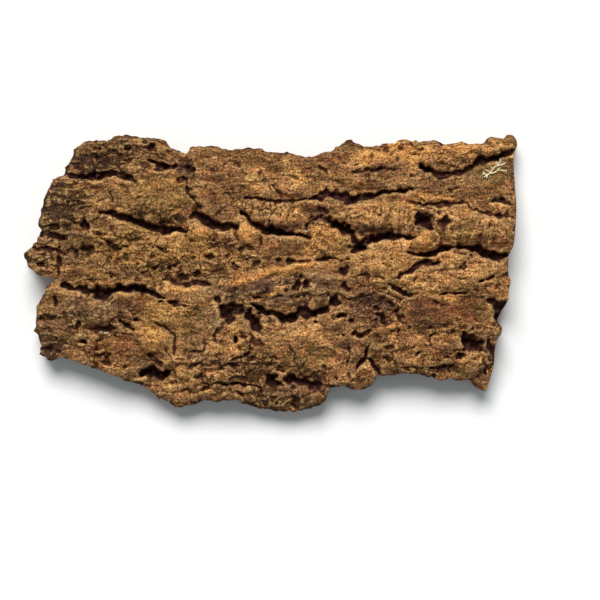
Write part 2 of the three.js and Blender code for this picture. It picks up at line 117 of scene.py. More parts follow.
# Plan outline, as four edges that meet at the corners
FRONT_EDGE = [
    (-142.5, -50), (-134, -53.5), (-127, -51.5), (-117, -54.5), (-110, -58), (-96, -62.5), (-86, -66),
    (-77, -70), (-70, -77), (-66, -77.5), (-56, -82), (-44, -78.5), (-34, -79), (-20, -78), (-17, -80),
    (-4, -82.5), (6, -85), (22, -83.5), (29, -80.5), (33.5, -75), (35, -70.5), (44, -69.5), (50, -71.5),
    (58, -69.5), (63, -65), (67, -63), (88, -62), (104, -64.5), (112, -65.5), (121, -65), (124, -69),
    (128, -72), (131, -72),
]
RIGHT_EDGE = [
    (131, -72), (134, -62), (135.5, -56), (136.5, -42), (139.5, -37), (140, -33), (138, -30), (139, -26),
    (143.5, -17), (144, -10), (145, -5), (143.5, 0), (144, 10), (147, 18), (148.5, 34), (148.5, 46),
    (147.5, 66), (148, 73), (150, 78), (149.5, 82), (147.5, 84.5),
]
BACK_EDGE = [
    (-116, 80), (-109, 81.5), (-105, 80.5), (-95, 84.5), (-91, 83.5), (-87, 84.5), (-79, 82.5),
    (-75, 83.5), (-66, 81), (-62, 77), (-54, 73), (-51.5, 73), (-50.5, 76), (-46, 77.5), (-36, 77.5),
    (-24, 76), (-8, 76.5), (-2, 74.5), (12, 73.5), (19, 71), (28, 73), (36, 75.5), (41, 77), (48, 81.5),
    (54, 78.5), (60, 77.5), (70, 79.5), (76, 80), (80, 82.5), (92, 81), (100, 82), (106, 79.5), (120, 80),
    (128, 80), (132, 82.5), (140, 83.5), (144.5, 85), (147.5, 84.5),
]
LEFT_EDGE = [
    (-142.5, -50), (-141.5, -41), (-145, -34), (-143, -20), (-139, -12), (-131.5, -2.5), (-136, -1.5),
    (-142.5, -1), (-149, 4), (-150, 9), (-149, 14.5), (-143, 20.5), (-141.5, 27), (-142.5, 31),
    (-139.5, 42), (-137.5, 49), (-133, 57), (-127.5, 60.5), (-123, 69), (-120, 76.5), (-116, 80),
]

# Fissures, along the part's: half width, depth, bank behind it, and the centre line from left to right
FISSURES = [
    (1.8, 8, 3, [(-130, 60), (-118, 59.5), (-106, 59), (-96, 60), (-88, 58.5), (-84, 55)]),
    (2.6, 8, 2.6, [(-75, 69.5), (-70, 66), (-64, 64.5), (-58, 67)]),
    (2, 5, 2, [(-56, 66), (-50, 64), (-47, 65)]),
    (1.0, 4, 1.0, [(48, 61.5), (56, 62), (63, 62.6), (70, 63.5), (76, 62)]),
    (1.8, 7, 1.8, [(90, 67), (93, 63.5), (99, 62.5), (103, 59.8), (109, 60.3), (119, 62.6)]),
    (2.2, 8, 2.2, [(117, 62), (124, 65.5), (131, 68.6), (138, 71), (144, 73), (149, 76)]),
    (1.0, 5, 1.0, [(-17, 46.5), (-10, 46), (-4, 44), (3, 43), (10, 43), (16, 44), (22, 45.5)]),
    (1.3, 3, 2.2, [(0, 53), (3.5, 48.5), (8, 44.5), (13, 43.5)]),
    (2.6, 9, 2.6, [(22, 45.5), (27, 47.5), (34, 48), (42, 47.3), (50, 45.5), (57, 46.5), (64, 47.5)]),
    (1.4, 7, 1.4, [(64, 47.5), (70, 49), (78, 49.8), (86, 50.8)]),
    (2.4, 10, 2.6, [(-106, 36.8), (-96, 35), (-88, 33.6), (-81, 31.6), (-76, 28), (-70, 26), (-64, 26.4),
                    (-58, 27), (-50, 25)]),
    (2.9, 10, 2.9, [(-49, 34), (-43, 32.8), (-38, 31), (-32, 29), (-26, 28.4), (-20, 27.6)]),
    (2.1, 11, 2.1, [(-20, 37), (-15, 33.5), (-10, 28.5), (-4, 25.5), (4, 24.8), (12, 23.5), (24, 21)]),
    (1.2, 5, 1.2, [(19, 24), (20.5, 29), (24, 32.5), (30, 33), (34, 31.5)]),
    (2.4, 10, 2.4, [(34, 31.5), (38, 28.5), (44, 27.5), (48, 24.5), (51, 20), (52, 16.5)]),
    (2.4, 10, 2.4, [(48, 12.5), (52, 16.5), (56, 19.5), (63, 21), (76, 22.5), (82, 20.8), (87, 20.5)]),
    (1.5, 5, 1.5, [(83, 43.5), (95, 42), (100, 41.2), (106, 43.2), (112, 43.4), (117, 42.3)]),
    (1.5, 5, 1.5, [(117, 42.3), (122, 39), (128, 37.3), (134, 36), (141, 34.8), (147, 34)]),
    (1.6, 5, 1.6, [(134, 42.5), (140, 43.6), (147, 42)]),
    (3.2, 9, 3.2, [(88, 36), (90, 31), (94, 27.5), (97, 26.5)]),
    (2.0, 9, 2.0, [(82, 12), (90, 10.6), (96, 11.5), (101, 13), (106, 15), (112, 16.3)]),
    (2.9, 11, 2.9, [(112, 16.3), (118, 16), (125, 14), (131, 12), (138, 10), (145, 9)]),
    (2.2, 8, 2.2, [(76, -2.8), (80, -1), (84, 0.8), (88, 3.8), (92, 6.2), (97, 5), (102, 6)]),
    (1.7, 7, 1.7, [(71, -7), (75, -9.5), (80, -13), (85, -14)]),
    (1.4, 5, 1.4, [(126, -5.5), (131, -4), (134, -1)]),
    (2.2, 8, 2.2, [(132, -16), (137, -18), (143, -17)]),
    (4.2, 14, 4.2, [(137, -17), (138, -24), (138, -31)]),
    (4.0, 14, 4.0, [(116.5, -36), (119, -41), (122, -44.5), (128, -48)]),
    (2.2, 6, 2.2, [(131, -40), (133, -46), (136, -51)]),
    (1.5, 6, 1.5, [(113, -53), (115, -50), (118, -48.8)]),
    (1.5, 5, 1.5, [(126, -48.5), (128.5, -53), (130.5, -58), (130, -62)]),
    (1.8, 9, 1.8, [(51, -59), (54, -54), (57.5, -50), (58.5, -46), (59.5, -43)]),
    (1.8, 8, 1.8, [(58, -50.5), (61.5, -54), (63, -58.5), (65.5, -62.5)]),
    (2, 7, 2, [(49, -36), (53, -38), (58, -37.5), (61, -36)]),
    (1.5, 6, 1.5, [(63, -25), (67, -27), (68.5, -31)]),
    (5.0, 13, 4.6, [(-32, -21), (-29, -25), (-24, -28.5)]),
    (3, 11, 3, [(-29, -22), (-23, -22.5), (-17, -21.5)]),
    (3.6, 11, 3.4, [(-15.5, -23.5), (-14, -27), (-11, -29.5), (-10, -33), (-8, -35.5)]),
    (2.9, 12, 3.2, [(-12, -20.5), (-7, -22), (-4, -25), (2, -25.6), (7, -27.6), (14, -26.4), (18, -24.4),
                    (25, -25.2), (30, -23.4), (35, -23)]),
    (1.1, 6, 1.1, [(-40, -68), (-33, -68.5), (-27, -69), (-21, -68.3), (-14, -69), (-7, -71.5)]),
    (1.6, 7, 1.6, [(8, -64), (13, -65), (18, -67), (24, -67.5), (30, -69)]),
    (3.6, 12, 3.2, [(-81, -60.5), (-75, -60), (-69, -62.5), (-63, -60.5)]),
    (2.2, 6, 2.2, [(-76, -50), (-72, -52.5), (-67, -56.5)]),
    (2.3, 9, 2.3, [(-129, -8), (-122, -9.2), (-114, -10.5), (-107, -12.5), (-101, -13.3)]),
    (2.6, 11, 2.6, [(-101, -13.3), (-97, -11), (-90, -9.6), (-83, -10), (-76, -11.8), (-65, -15.5)]),
    (2.6, 5, 2.6, [(-66, -3.5), (-58, -6), (-51, -7), (-44, -6.5), (-38, -8)]),
    (2.2, 4, 2.2, [(-143, 24), (-134, 22.5), (-126, 20.5)]),
    (1.9, 5, 1.9, [(-104, 21.5), (-98, 18.5), (-93, 13.5)]),
    (1.5, 4.5, 1.5, [(-147, 14.5), (-138, 14), (-130, 13.5), (-125, 11)]),
    (1.3, 5, 1.3, [(-130.5, 10), (-129.5, 5), (-130.5, -1)]),
    (1.6, 6, 1.6, [(-93, -29), (-89, -31), (-85, -34.5)]),
    (1.5, 6, 1.5, [(-72, -30), (-66, -32.5), (-61.5, -37), (-59, -42), (-59.5, -48)]),
    (1.6, 5, 1.6, [(-133.5, -14), (-132, -20)]),
]
# Pits, where the part has them: centre, half sizes along X and Y, depth
PITS = [
    (-74, 78, 3.5, 3, 4), (105, 31.5, 2.3, 3.6, 6), (30, 37.5, 4, 2.6, 5), (17, -7, 3.2, 2.6, 6),
    (-22.5, -40.5, 2.1, 2.4, 9), (-7, -43, 3, 2, 4), (38.5, -18, 3, 2.6, 7), (45, 1, 2.6, 2, 6),
    (44.5, -9, 2.2, 1.6, 5), (42, -26.5, 2.4, 1.3, 5), (48.5, -30, 2.2, 1.6, 6),
    (0.5, -65.5, 2.8, 2.4, 7), (26, -69, 3, 2.4, 6), (-113.5, 14, 4.5, 2.6, 4), (-113.5, 29, 2.2, 1.8, 5),
    (-114.5, -42.3, 3, 1.8, 6), (-101, -34.5, 3.6, 1.8, 4), (-101, -54, 1.7, 3, 4), (-136, -47, 3, 2, 4),
]
# Plates and lumps of the part: centre, half sizes, turn in degrees, height
PLATES = [
    (-72, 45, 24, 17, -5, 3), (-35, 53, 19, 23, 0, 2.5), (12, 54, 15, 8, -8, 2), (2, 35, 20, 7, -4, 2.5),
    (62, 35, 26, 11, 3, 4), (122, 28, 27, 13, -6, 4.5), (-41, 22, 10, 8, 0, 3), (-14, 24, 8, 8, 0, 3),
    (34, 20, 14, 11, -10, 3), (66, 9, 22, 10, 8, 3), (92, 20, 9, 6, 35, 3.5), (112, -3, 26, 10, 3, 3),
    (110, 7, 10, 5, 10, 2.5), (-72, -40, 12, 9, -8, 2.5), (12, -44, 28, 15, -3, 3),
    (82, -48, 22, 13, 0, 2), (122, -55, 12, 8, 10, 3), (-110, -25, 22, 9, 5, 2), (-8, -8, 9, 5, 20, 2),
    (-140, 7, 11, 9, 0, 2), (-96, 78, 20, 8, 5, 2), (110, 74, 34, 8, 4, 2.5), (-70, 12, 24, 10, 0, 2),
    (70, 55, 30, 5, 0, 1.5), (-45, -65, 20, 10, -5, 2), (12, -77, 22, 7, 0, 2.5),
]
# Lobed flakes that lap over the fissures behind them: centre, half sizes
LOBES = [
    (-46.5, 23.5, 5.5, 7), (-40, 22.5, 5, 6.5), (-15.5, 25.5, 6.5, 6.5), (-9.5, 23.5, 4.5, 4.5),
    (28.5, 27, 6, 6.5), (36.5, 23, 7, 5.5), (-88, 26, 7, 3), (-79, 24, 6, 3.5), (92.5, 20.5, 5, 6.5),
    (97, 22, 4, 3.5), (66, 17, 9, 4), (108, 10, 10, 4.5), (125, 6, 9, 4), (-71, -41, 11, 9),
    (-36, -45, 5.5, 5), (-5.5, -30, 3, 3), (24, -33, 6, 4), (68, -36, 8, 3.5), (122, -54, 6.5, 5),
    (-112, 21, 6, 4), (-126, 29, 6, 4),
]
# Lift of their back edges, where their rims set in, and how their outlines wander
LOBE_RISE = 2.0
LOBE_EDGE = 0.86
LOBE_WANDER = (1.8, 5.5, 57, 58)
# Sharp ridges: half width, height, how fresh their cork is, crest line
RIDGES = [
    (2.6, 2.2, 1.0, [(-24, -8), (-17, -5.5), (-8, -2), (0, 1.5), (10, 3), (24, 4)]),
    (1.4, 1.4, 1.0, [(90, 46), (96, 45.5), (102, 46.5), (109, 46)]),
    (2.4, 2.4, 0.9, [(86, 15), (89, 19), (93, 23), (96, 25)]),
    (3.2, 3.2, 0.1, [(53, -12), (61, -12), (69, -14.5), (76, -18.5), (81, -24)]),
    (2.2, 2.6, 0.8, [(60, -38), (66, -35.5), (72, -33), (79, -29.5)]),
    (2.2, 2.0, 0.1, [(-17, -13.5), (-9, -11.5), (0, -10), (7, -9.5)]),
    (1.8, 1.6, 0.7, [(-67, -12), (-62, -9.5), (-55, -9), (-47, -10.5)]),
    (1.6, 1.5, 0.5, [(-118, -5), (-108, -6), (-98, -6.5), (-88, -5)]),
    (1.6, 0.9, 0.6, [(-11, -17.5), (-4, -14.5), (3, -11.5), (9, -8)]),
]
# Share of a ridge's height above which its cork is all fresh
RIDGE_FRESH = 0.5
# Where short cracks cross the grain: centre, half sizes, turn in degrees, strength
STRIATED = [
    (2, 36, 21, 9, -4, 1.0), (66, 33, 22, 11, 3, 0.9), (-72, 40, 22, 13, -5, 0.7),
    (-35, 45, 16, 14, 0, 0.6), (124, 26, 24, 9, -5, 0.8), (-45, -62, 18, 12, 0, 0.8),
    (10, -45, 28, 14, 0, 0.4), (85, -50, 22, 10, 0, 0.5),
]
# Those cracks: wavelengths along and across the grain, seed, depth, and how sharp they are
STRIATION = (3.6, 15.0, 92)
STRIATION_DEPTH = 1.5
STRIATION_EDGE = (0.8, 1.0)
# How much bolder the fine surface shows the plates
PLATE_GAIN = 1.4
# Thin cracks that only the fine surface shows: half width, depth, centre line
THIN_CRACKS = [
    (1.0, 3.5, [(-98.5, 50), (-98, 45), (-97, 42)]),
    (0.8, 2.6, [(-117, 39), (-111, 41), (-105, 43.5), (-100, 45)]),
    (0.8, 2.4, [(-117, 47), (-110, 46.5)]),
    (0.7, 2.2, [(-110, 32), (-105, 34), (-101, 36.5)]),
    (0.9, 2.8, [(-93, 53), (-88, 51.5), (-86, 50)]),
    (1.0, 3.2, [(-107, 27), (-105, 24.5), (-102, 21.5)]),
    (1.1, 3.4, [(-97, 8.5), (-91, 6)]),
    (1.0, 3.6, [(-69, 15), (-65, 12.5), (-62.5, 11)]),
    (1.0, 3.4, [(-64, 4.5), (-60, 4), (-58, 6.5)]),
    (1.1, 4.5, [(-55, 59), (-52, 57), (-51, 52), (-50, 48), (-47, 45), (-44.5, 41), (-46, 35)]),
    (0.7, 2.0, [(-33, 66), (-28, 68.5), (-24, 68.5), (-20, 66)]),
    (0.8, 2.8, [(-27, 50), (-25, 46.5), (-23.5, 44)]),
    (0.8, 2.8, [(28, 66.5), (30, 64.5), (33, 62.5)]),
    (1.1, 4.2, [(9, 7), (18, 7), (22, 6.5), (26, 7.5), (31, 8.5), (36, 8), (46, 7)]),
    (1.0, 3.2, [(-12, 5), (-9, 6.5), (-7, 7)]),
    (0.9, 3.0, [(-22, 12.5), (-19, 13.5), (-16, 16.5)]),
    (0.9, 2.8, [(48, -3), (52, -2), (60, -2.5), (65, -3.5), (69, -3)]),
    (0.8, 2.6, [(82, -14), (90, -14.5), (97, -14.5), (102, -17.5)]),
    (0.9, 3.0, [(102, -13), (110, -12.5), (119, -12.5)]),
    (0.9, 3.0, [(-140, -26), (-134, -28), (-130, -27), (-126, -25), (-124, -22)]),
    (0.9, 3.0, [(-84, -63.5), (-80, -62)]),
    (1.1, 4.0, [(-12, -15.5), (-6, -15), (0, -13)]),
    (0.9, 3.0, [(-14, -49), (-13, -43)]),
    (0.8, 3.4, [(-54, -47.5), (-49, -47.5), (-43, -48), (-42, -44), (-41, -38)]),
    (0.8, 2.6, [(-32, -58), (-31, -51)]),
    (1.0, 3.6, [(-31, -52), (-34, -46), (-33.5, -38), (-30, -32), (-26, -30)]),
    (1.0, 3.6, [(-14, -35), (-12, -40), (-13, -46), (-17, -51), (-24, -53)]),
    (0.9, 4.0, [(45, -57), (47, -50), (47, -42)]),
    (0.8, 2.6, [(87, -51), (88, -47)]),
    (0.9, 3.2, [(95.5, -43), (96, -38.5), (102, -38.5)]),
    (1.0, 4.5, [(-70, -17), (-64, -17.5), (-58, -18.5), (-49, -20.5)]),
    (1.0, 3.6, [(-108, -17), (-101, -16.5), (-97, -14)]),
    (1.1, 4.2, [(74, -23), (77, -27), (80, -30)]),
    (1.1, 4.0, [(120.5, 14), (121, 10)]),
    (0.9, 2.6, [(-7, 65), (-8, 60), (-6, 56), (-2, 52), (1, 48)]),
    (0.9, 2.6, [(0, 57), (6, 59.8), (15, 59), (22, 54.5)]),
    (1.0, 3.6, [(113, 3), (119, 2.4), (122, 5), (121, 8.5)]),
    (0.9, 3.2, [(-49, 16), (-52, 20), (-52.5, 25)]),
    (0.9, 3.2, [(-21, 18), (-22.5, 23), (-21, 28)]),
    (1.0, 3.4, [(-8, 16), (-5.5, 19), (-5.5, 23)]),
    (1.0, 3.6, [(112, -56), (112.5, -52), (115, -49.5)]),
]
# Small pits that only the fine surface shows: centre, half sizes, depth
SMALL_PITS = [
    (-85, 19.5, 2, 1, 2.6), (-82, 5.5, 1.3, 1, 2.4), (-37.5, 21, 1.2, 1.2, 3), (3.5, 8.5, 1.4, 1.3, 3),
    (11, 7.5, 3, 1.3, 3.4), (15, -15, 2, 1, 2.6), (8.5, -11, 1.1, 1, 2.2), (18, -43, 1.1, 1, 2.4),
    (28, -31, 1.6, 1.4, 3.4), (15, -78, 2.5, 2, 3.4), (-7, -73, 1.3, 1.1, 2.6), (51.5, 66, 1.2, 1, 2.4),
    (61, 71.5, 1.1, 0.9, 2.2), (69, 76, 2.5, 1.5, 3), (76, 68, 1.1, 1, 2.2), (89, 72, 3, 1.1, 2.8),
    (104, 77.5, 2.2, 1.5, 3), (85, 59, 1.2, 1, 2.4), (110, 51, 2.5, 1.3, 3.2), (103, 48, 1.2, 1, 2.2),
    (144, 34.5, 2, 2, 3), (117.5, 4.7, 3, 1.1, 3), (126, 31, 1.1, 1, 2), (109, 25.5, 1.2, 1, 2.2),
    (-119, -31.5, 2.2, 1.6, 3), (-83, -28, 1.7, 1.7, 4), (-90, -57, 1.1, 1.1, 2.4),
    (138, -32, 2.6, 2.4, 4), (130, -58, 1.5, 3.4, 3.4), (110.5, -35.5, 1.2, 0.9, 2.4),
    (44, -38, 1.4, 1.3, 3), (-33, -17, 2, 1.8, 4), (-105, -12.5, 5, 2.6, 10), (95, 63, 5, 2.2, 9),
    (54, 16.5, 3.5, 2, 13), (41.5, 28, 6, 3, 12), (-48, 64, 2.5, 2.3, 6), (-68, 65.5, 5, 2.6, 8.5),
    (120, -42, 3.6, 5, 11), (11, -65, 3, 2.5, 6),
]

# Tones of the bark, as soft patches: centre, half sizes, turn in degrees, strength.
# Ochre is fresh crumbly cork, grey is the weathered skin, russet is the old red-brown layer,
# shade is stained, damp or lichen-dark bark, light is the palest cork and plum is purple-brown bark;
# some shade, plum and russet patches are painted shade instead, as each table says.
OCHRE = [
    (-82, 17, 30, 12, 0, 1.0), (-43, 19, 8, 9, 0, 1.0), (-14, 24, 8, 7, 0, 1.0), (36, 20, 14, 12, 0, 1.2),
    (75, 8, 27, 11, 5, 1.0), (112, -4, 33, 9, 2, 0.65), (66, 36, 21, 11, 3, 0.8),
    (-74, 45, 23, 15, -5, 0.4), (2, 37, 21, 8, 0, 0.6), (100, 73, 52, 9, 2, 1.1),
    (124, 31, 25, 11, -5, 0.6), (25, -46, 26, 17, 0, 0.45), (-73, -39, 11, 8, -10, 1.5),
    (-62, -9, 6, 4, 0, 0.9), (-62, -25, 20, 8, 0, 0.75), (122, -54, 7, 5, 0, 1.0),
    (138, -11, 7, 5, 0, 1.0), (69, -34, 11, 4, 25, 0.9), (-10, 60, 4, 6, 0, 0.8), (92, 20, 8, 6, 35, 1.2),
    (98, 45, 10, 1.8, 3, 1.2), (-4, 0, 24, 3.2, 12, 1.2), (-90, 77, 22, 6, 0, 0.6),
    (108, -34, 13, 4, 0, 0.7), (-35, 8, 20, 8, 0, 0.5), (88, -50, 24, 11, 0, 0.45),
    (-50, -64, 22, 12, 0, 0.8), (8, 58, 15, 9, 0, 0.6), (-118, 48, 14, 7, 0, 0.4),
    (-23, -41, 9.5, 10, 0, 0.9),
]
LIGHT = [
    (-72, -40, 10, 9, 0, 0.75), (92.5, 19.5, 6, 5.5, 40, 1.0), (75, 73, 30, 7, 0, 0.7),
    (-44, 22.5, 8, 6.5, 0, 0.75), (-14, 24.5, 7, 6, 0, 0.75), (33, 24, 12, 8, 0, 0.75),
    (120, 76, 20, 6, 0, 0.7), (108, 9, 9, 4, 0, 0.5),
]
GREY = [
    (-130, 38, 13, 20, 0, 1.0), (-106, -22, 22, 7, 3, 1.0), (0, -10, 42, 10, 0, 0.8),
    (88, -51, 27, 12, 0, 0.45), (-35, -50, 22, 17, 0, 0.5), (-8, -8, 9, 5, 20, 1.0),
    (69, -17, 13, 3.2, -15, 1.0), (131, 60, 15, 5, 0, 0.6), (100, 56, 52, 6, 0, 0.2),
    (-130, -35, 14, 14, 0, 0.5), (60, -20, 16, 8, 0, 0.5), (92, 32, 6, 6, 0, 0.8),
    (-39, -29, 9, 6.5, 0, 1.1),
]
# The thin rows on the lower sides of the rolls, at (66, 26) and (122, 20), are painted shade
RUSSET = [
    (100, -25, 23, 13, 0, 1.0), (-100, -43, 12, 9, 0, 1.0), (66, 26, 21, 3, 0, 0.9),
    (28, 39, 9, 6, 0, 1.0), (-22.5, -40.5, 3, 3, 0, 1.0), (40, -70, 24, 6, 0, 0.5),
    (122, 20, 24, 4, -5, 0.5), (88, -50, 26, 12, 0, 0.5),
]
# Partly stained bark, partly painted shade: on the lower sides of rolls and plates, along fissures, below
# the top right fissure and on the back-left scarp that faces away from the light
SHADE = [
    (6, -75, 28, 9, 0, 0.5), (-134, 23, 11, 5, 0, 0.6), (66, 26, 22, 4, 2, 0.6),
    (2, 29, 20, 3.5, -4, 0.6), (-72, 32, 20, 4, -8, 0.5), (-128, 39, 14, 19, 0, 0.85),
    (-108, 66, 19, 7, 0, 1.6), (-52, 66, 7, 7, 0, 0.8), (-114, 13.5, 6, 4, 0, 0.7),
    (-141, 9, 9, 9, 0, 0.65), (-106, -22, 20, 6, 0, 0.4), (133, -46, 4, 9, 0, 0.8),
    (-136, -42, 9, 9, 0, 0.6), (-92, 77, 24, 7, 0, 0.8), (100, -25, 20, 9, 0, 0.42),
    (92, 32, 6, 7, 0, 0.6), (30, 38, 9, 6, 0, 0.6), (-84, 34, 9, 3, -8, 0.8), (-7, -8, 8, 5, 10, 0.75),
    (14, -8, 7, 5, 0, 0.5), (133, 66, 16, 4.5, 18, 0.75),
]
# Partly purple-brown bark, partly painted shade along fissures, on the lower sides of rolls and plates and
# on the back-left scarp
PLUM = [
    (72, 65, 14, 4, 0, 0.9), (28, 38, 8, 6, 0, 1.0), (124, 18, 22, 4, -5, 0.2), (-7, -8, 8, 5, 10, 1.0),
    (62, -20, 14, 12, 0, 0.8), (122, 60, 12, 5, 0, 0.6), (15, -70, 20, 6, 0, 0.7),
    (-52, 65, 6, 7, 0, 0.9), (66, 24, 20, 3, 0, 0.8), (-120, 11, 10, 4, 0, 0.8),
    (100, -20, 20, 8, 0, 0.5), (133, -45, 5, 10, 0, 0.9), (-136, -46, 9, 5, 0, 0.7),
    (-10, 45, 14, 3.5, 0, 0.6), (2, 28, 20, 3, -4, 0.7), (-84, 33, 10, 3, -8, 0.7),
    (-40, 33, 10, 3, 0, 0.7), (-74, -58, 12, 6, 0, 0.6), (44, -42, 5, 9, 0, 0.5), (40, 46, 16, 3, 0, 0.6),
    (-108, 66, 16, 6, 0, 0.5),
]
# Where the bark crumbles into flakes and pits; elsewhere its skin is smoother
CRUMBLY = [
    (-72, 12, 56, 17, 0, 1.0), (-140, 8, 12, 11, 0, 1.0), (-112, -36, 30, 22, 5, 0.5),
    (-15, -64, 62, 18, 0, 0.75), (100, -50, 42, 18, 0, 0.7), (58, -22, 20, 15, 0, 0.9),
    (12, -8, 9, 7, 0, 0.6), (108, 0, 36, 14, 0, 0.35), (100, 73, 54, 9, 0, 0.55),
    (-95, 72, 36, 12, 0, 0.55), (-120, 42, 22, 17, 0, 0.5), (94, 33, 9, 10, 0, 0.8),
    (60, 63, 14, 4, 0, 0.6), (28, 37, 9, 8, 0, 0.9), (-52, 62, 7, 12, 0, 0.7), (35, 18, 14, 10, 0, 0.4),
]
# Olive lichen tint and small pale specks
MOSS = [
    (131, 61, 13, 5, 0, 1.0), (-66, -57, 6, 3, 0, 0.9), (-118, 49, 15, 7, 0, 0.6),
    (112, 30, 14, 8, 0, 0.4), (-85, 14, 42, 17, 0, 0.7), (-74, 45, 26, 16, 0, 0.7),
    (-60, -28, 30, 14, 0, 0.6),
]
PALE = [
    (-101, -36.4, 2.4, 0.5, 8, 1.0), (131.8, -59.8, 0.7, 0.8, 0, 0.6), (20.5, 25.5, 1.0, 0.8, 0, 1.0),
    (83, -12, 1.0, 0.8, 0, 1.0), (-23, -23, 1.4, 0.9, 0, 0.45),
]
# Softness of the patches, how their borders wander, and the share of that for the pale specks
PATCH_SOFTNESS = 0.55
PATCH_WANDER = (3.5, 8.0, 61, 62)
PALE_WANDER = 0.1

# Lichen sprig: branches as plan points with their lift off the bark, the part's and finer twigs
LICHEN_ROOT = (133.1, 61)
LICHEN_GAP = 0.1
LICHEN_STEM = 0.52
LICHEN_TIP = 0.32
LICHEN_VOXEL = 0.16
# Height in metres from which rays are cast down on the bark
RAY_START = 1.0
LICHEN_BRANCHES = [
    [(133.1, 61, 0.4), (134.2, 63.2, 0.9), (136.9, 65.7, 1.4), (139.4, 67.6, 1.8), (138.8, 69.8, 2.2)],
    [(136.4, 65.3, 1.3), (139.4, 65.4, 1.7), (142.6, 67.1, 2.2)],
    [(133.4, 61.4, 0.5), (131.6, 61.7, 0.9), (130.1, 62.9, 1.5)],
    [(134.3, 63.4, 1.0), (133.4, 64.8, 1.8)],
    [(133, 60.8, 0.4), (134.9, 60.6, 0.8), (137.2, 62.6, 1.2), (140.4, 62.6, 1.5), (143, 62, 1.9)],
    [(133.3, 61.2, 0.4), (131.2, 59.6, 0.8), (129, 58.4, 1.2)],
    [(131.6, 59.9, 0.7), (129.6, 60.4, 1.2), (127.9, 60, 1.6)],
    [(131.2, 59.6, 0.8), (130.6, 57.6, 1.4)],
    [(137.5, 66.2, 1.5), (136.4, 67.9, 2.0)],
    [(129.6, 60.4, 1.2), (128.4, 61.8, 1.6)],
    [(137.2, 62.6, 1.2), (138.7, 64.1, 1.7)],
]


def fade(start, end, value):
    """Smooth step from 0 at start to 1 at end."""
    t = np.clip((value - start) / (end - start), 0, 1)
    return t * t * (3 - 2 * t)


def mix(a, b, t):
    return a + (b - a) * t


def lattice(i, j, seed):
    """A repeatable number from 0 to 1 for each corner of a noise lattice."""
    wrap = np.uint32
    seeded = wrap(seed * SEED_MIX % 2**32)
    h = (i.astype(wrap) * wrap(COLUMN_MIX)) ^ (j.astype(wrap) * wrap(ROW_MIX)) ^ seeded
    h = (h ^ (h >> wrap(15))) * wrap(FIRST_MIX)
    h = (h ^ (h >> wrap(13))) * wrap(LAST_MIX)
    return (h ^ (h >> wrap(16))) / 2.0**32


def noise(x, y, seed):
    """Smooth noise from -1 to 1 with a lattice of unit cells."""
    i = np.floor(x).astype(np.int64)
    j = np.floor(y).astype(np.int64)
    s = fade(0, 1, x - i)
    t = fade(0, 1, y - j)
    low = mix(lattice(i, j, seed), lattice(i + 1, j, seed), s)
    high = mix(lattice(i, j + 1, seed), lattice(i + 1, j + 1, seed), s)
    return 2 * mix(low, high, t) - 1


def relief(layers, x, y):
    return sum(height * noise(x / along, y / across, seed) for height, along, across, seed in layers)


def flakes(x, y, size_x, size_y, seed):
    """Flakes of bark round scattered points: how far inside its flake a point is, in flake sizes,
    the flake's own number, and the height of its face, which tilts up to the front like a shingle."""
    gx = x / size_x
    gy = y / size_y
    i = np.floor(gx).astype(np.int64)
    j = np.floor(gy).astype(np.int64)
    first = np.full(gx.shape, np.inf)
    second = np.full(gx.shape, np.inf)
    number = np.zeros(gx.shape)
    tilt = np.zeros(gx.shape)
    for di in (-1, 0, 1):
        for dj in (-1, 0, 1):
            own = [lattice(i + di, j + dj, seed + k) for k in range(5)]
            dx = gx - (i + di + FLAKE_MARGIN + (1 - 2 * FLAKE_MARGIN) * own[0])
            dy = gy - (j + dj + FLAKE_MARGIN + (1 - 2 * FLAKE_MARGIN) * own[1])
            d = np.hypot(dx, dy)
            nearer = d < first
            second = np.where(nearer, first, np.minimum(second, d))
            first = np.where(nearer, d, first)
            number = np.where(nearer, own[2], number)
            tilt = np.where(nearer, dx * (own[3] - 0.5) - dy * own[4], tilt)
    return second - first, number, tilt


def follow(path, x, y):
    """Distance to a polyline, positive on its left side, and the share of its length passed there."""
    nearest = np.full(x.shape, np.inf)
    side = np.ones(x.shape)
    share = np.zeros(x.shape)
    runs = [math.dist(a, b) for a, b in zip(path, path[1:])]
    passed = 0.0
    for (ax, ay), (bx, by), run in zip(path, path[1:], runs):
        dx = bx - ax
        dy = by - ay
        t = np.clip(((x - ax) * dx + (y - ay) * dy) / run**2, 0, 1)
        d = np.hypot(x - ax - t * dx, y - ay - t * dy)
        nearer = d < nearest
        nearest = np.where(nearer, d, nearest)
        side = np.where(nearer, np.where(dx * (y - ay) - dy * (x - ax) >= 0, 1.0, -1.0), side)
        share = np.where(nearer, (passed + t * run) / sum(runs), share)
        passed += run
    return side * nearest, share


def wander(x, y, shift, length, seed_x, seed_y):
    """How far smooth noise shifts each point along X and Y."""
    return shift * noise(x / length, y / length, seed_x), shift * noise(x / length, y / length, seed_y)


def wandered(x, y):
    """Points shifted so that fissures, cracks and flakes have crumbled, wandering edges."""
    wx = x
    wy = y
    for row in CRUMBLE:
        dx, dy = wander(x, y, *row)
        wx = wx + dx
        wy = wy + dy
    return wx, wy


def varied(pattern, x, y):
    """Noise with a pattern's strength, wavelength and seed."""
    strength, length, seed = pattern
    return strength * noise(x / length, y / length, seed)


def tapered(share):
    """Width of a fissure, crack or ridge: full in the middle of its line, narrow at the ends."""
    return mix(END_WIDTH, 1, np.sqrt(np.clip(4 * share * (1 - share), 0, 1)))


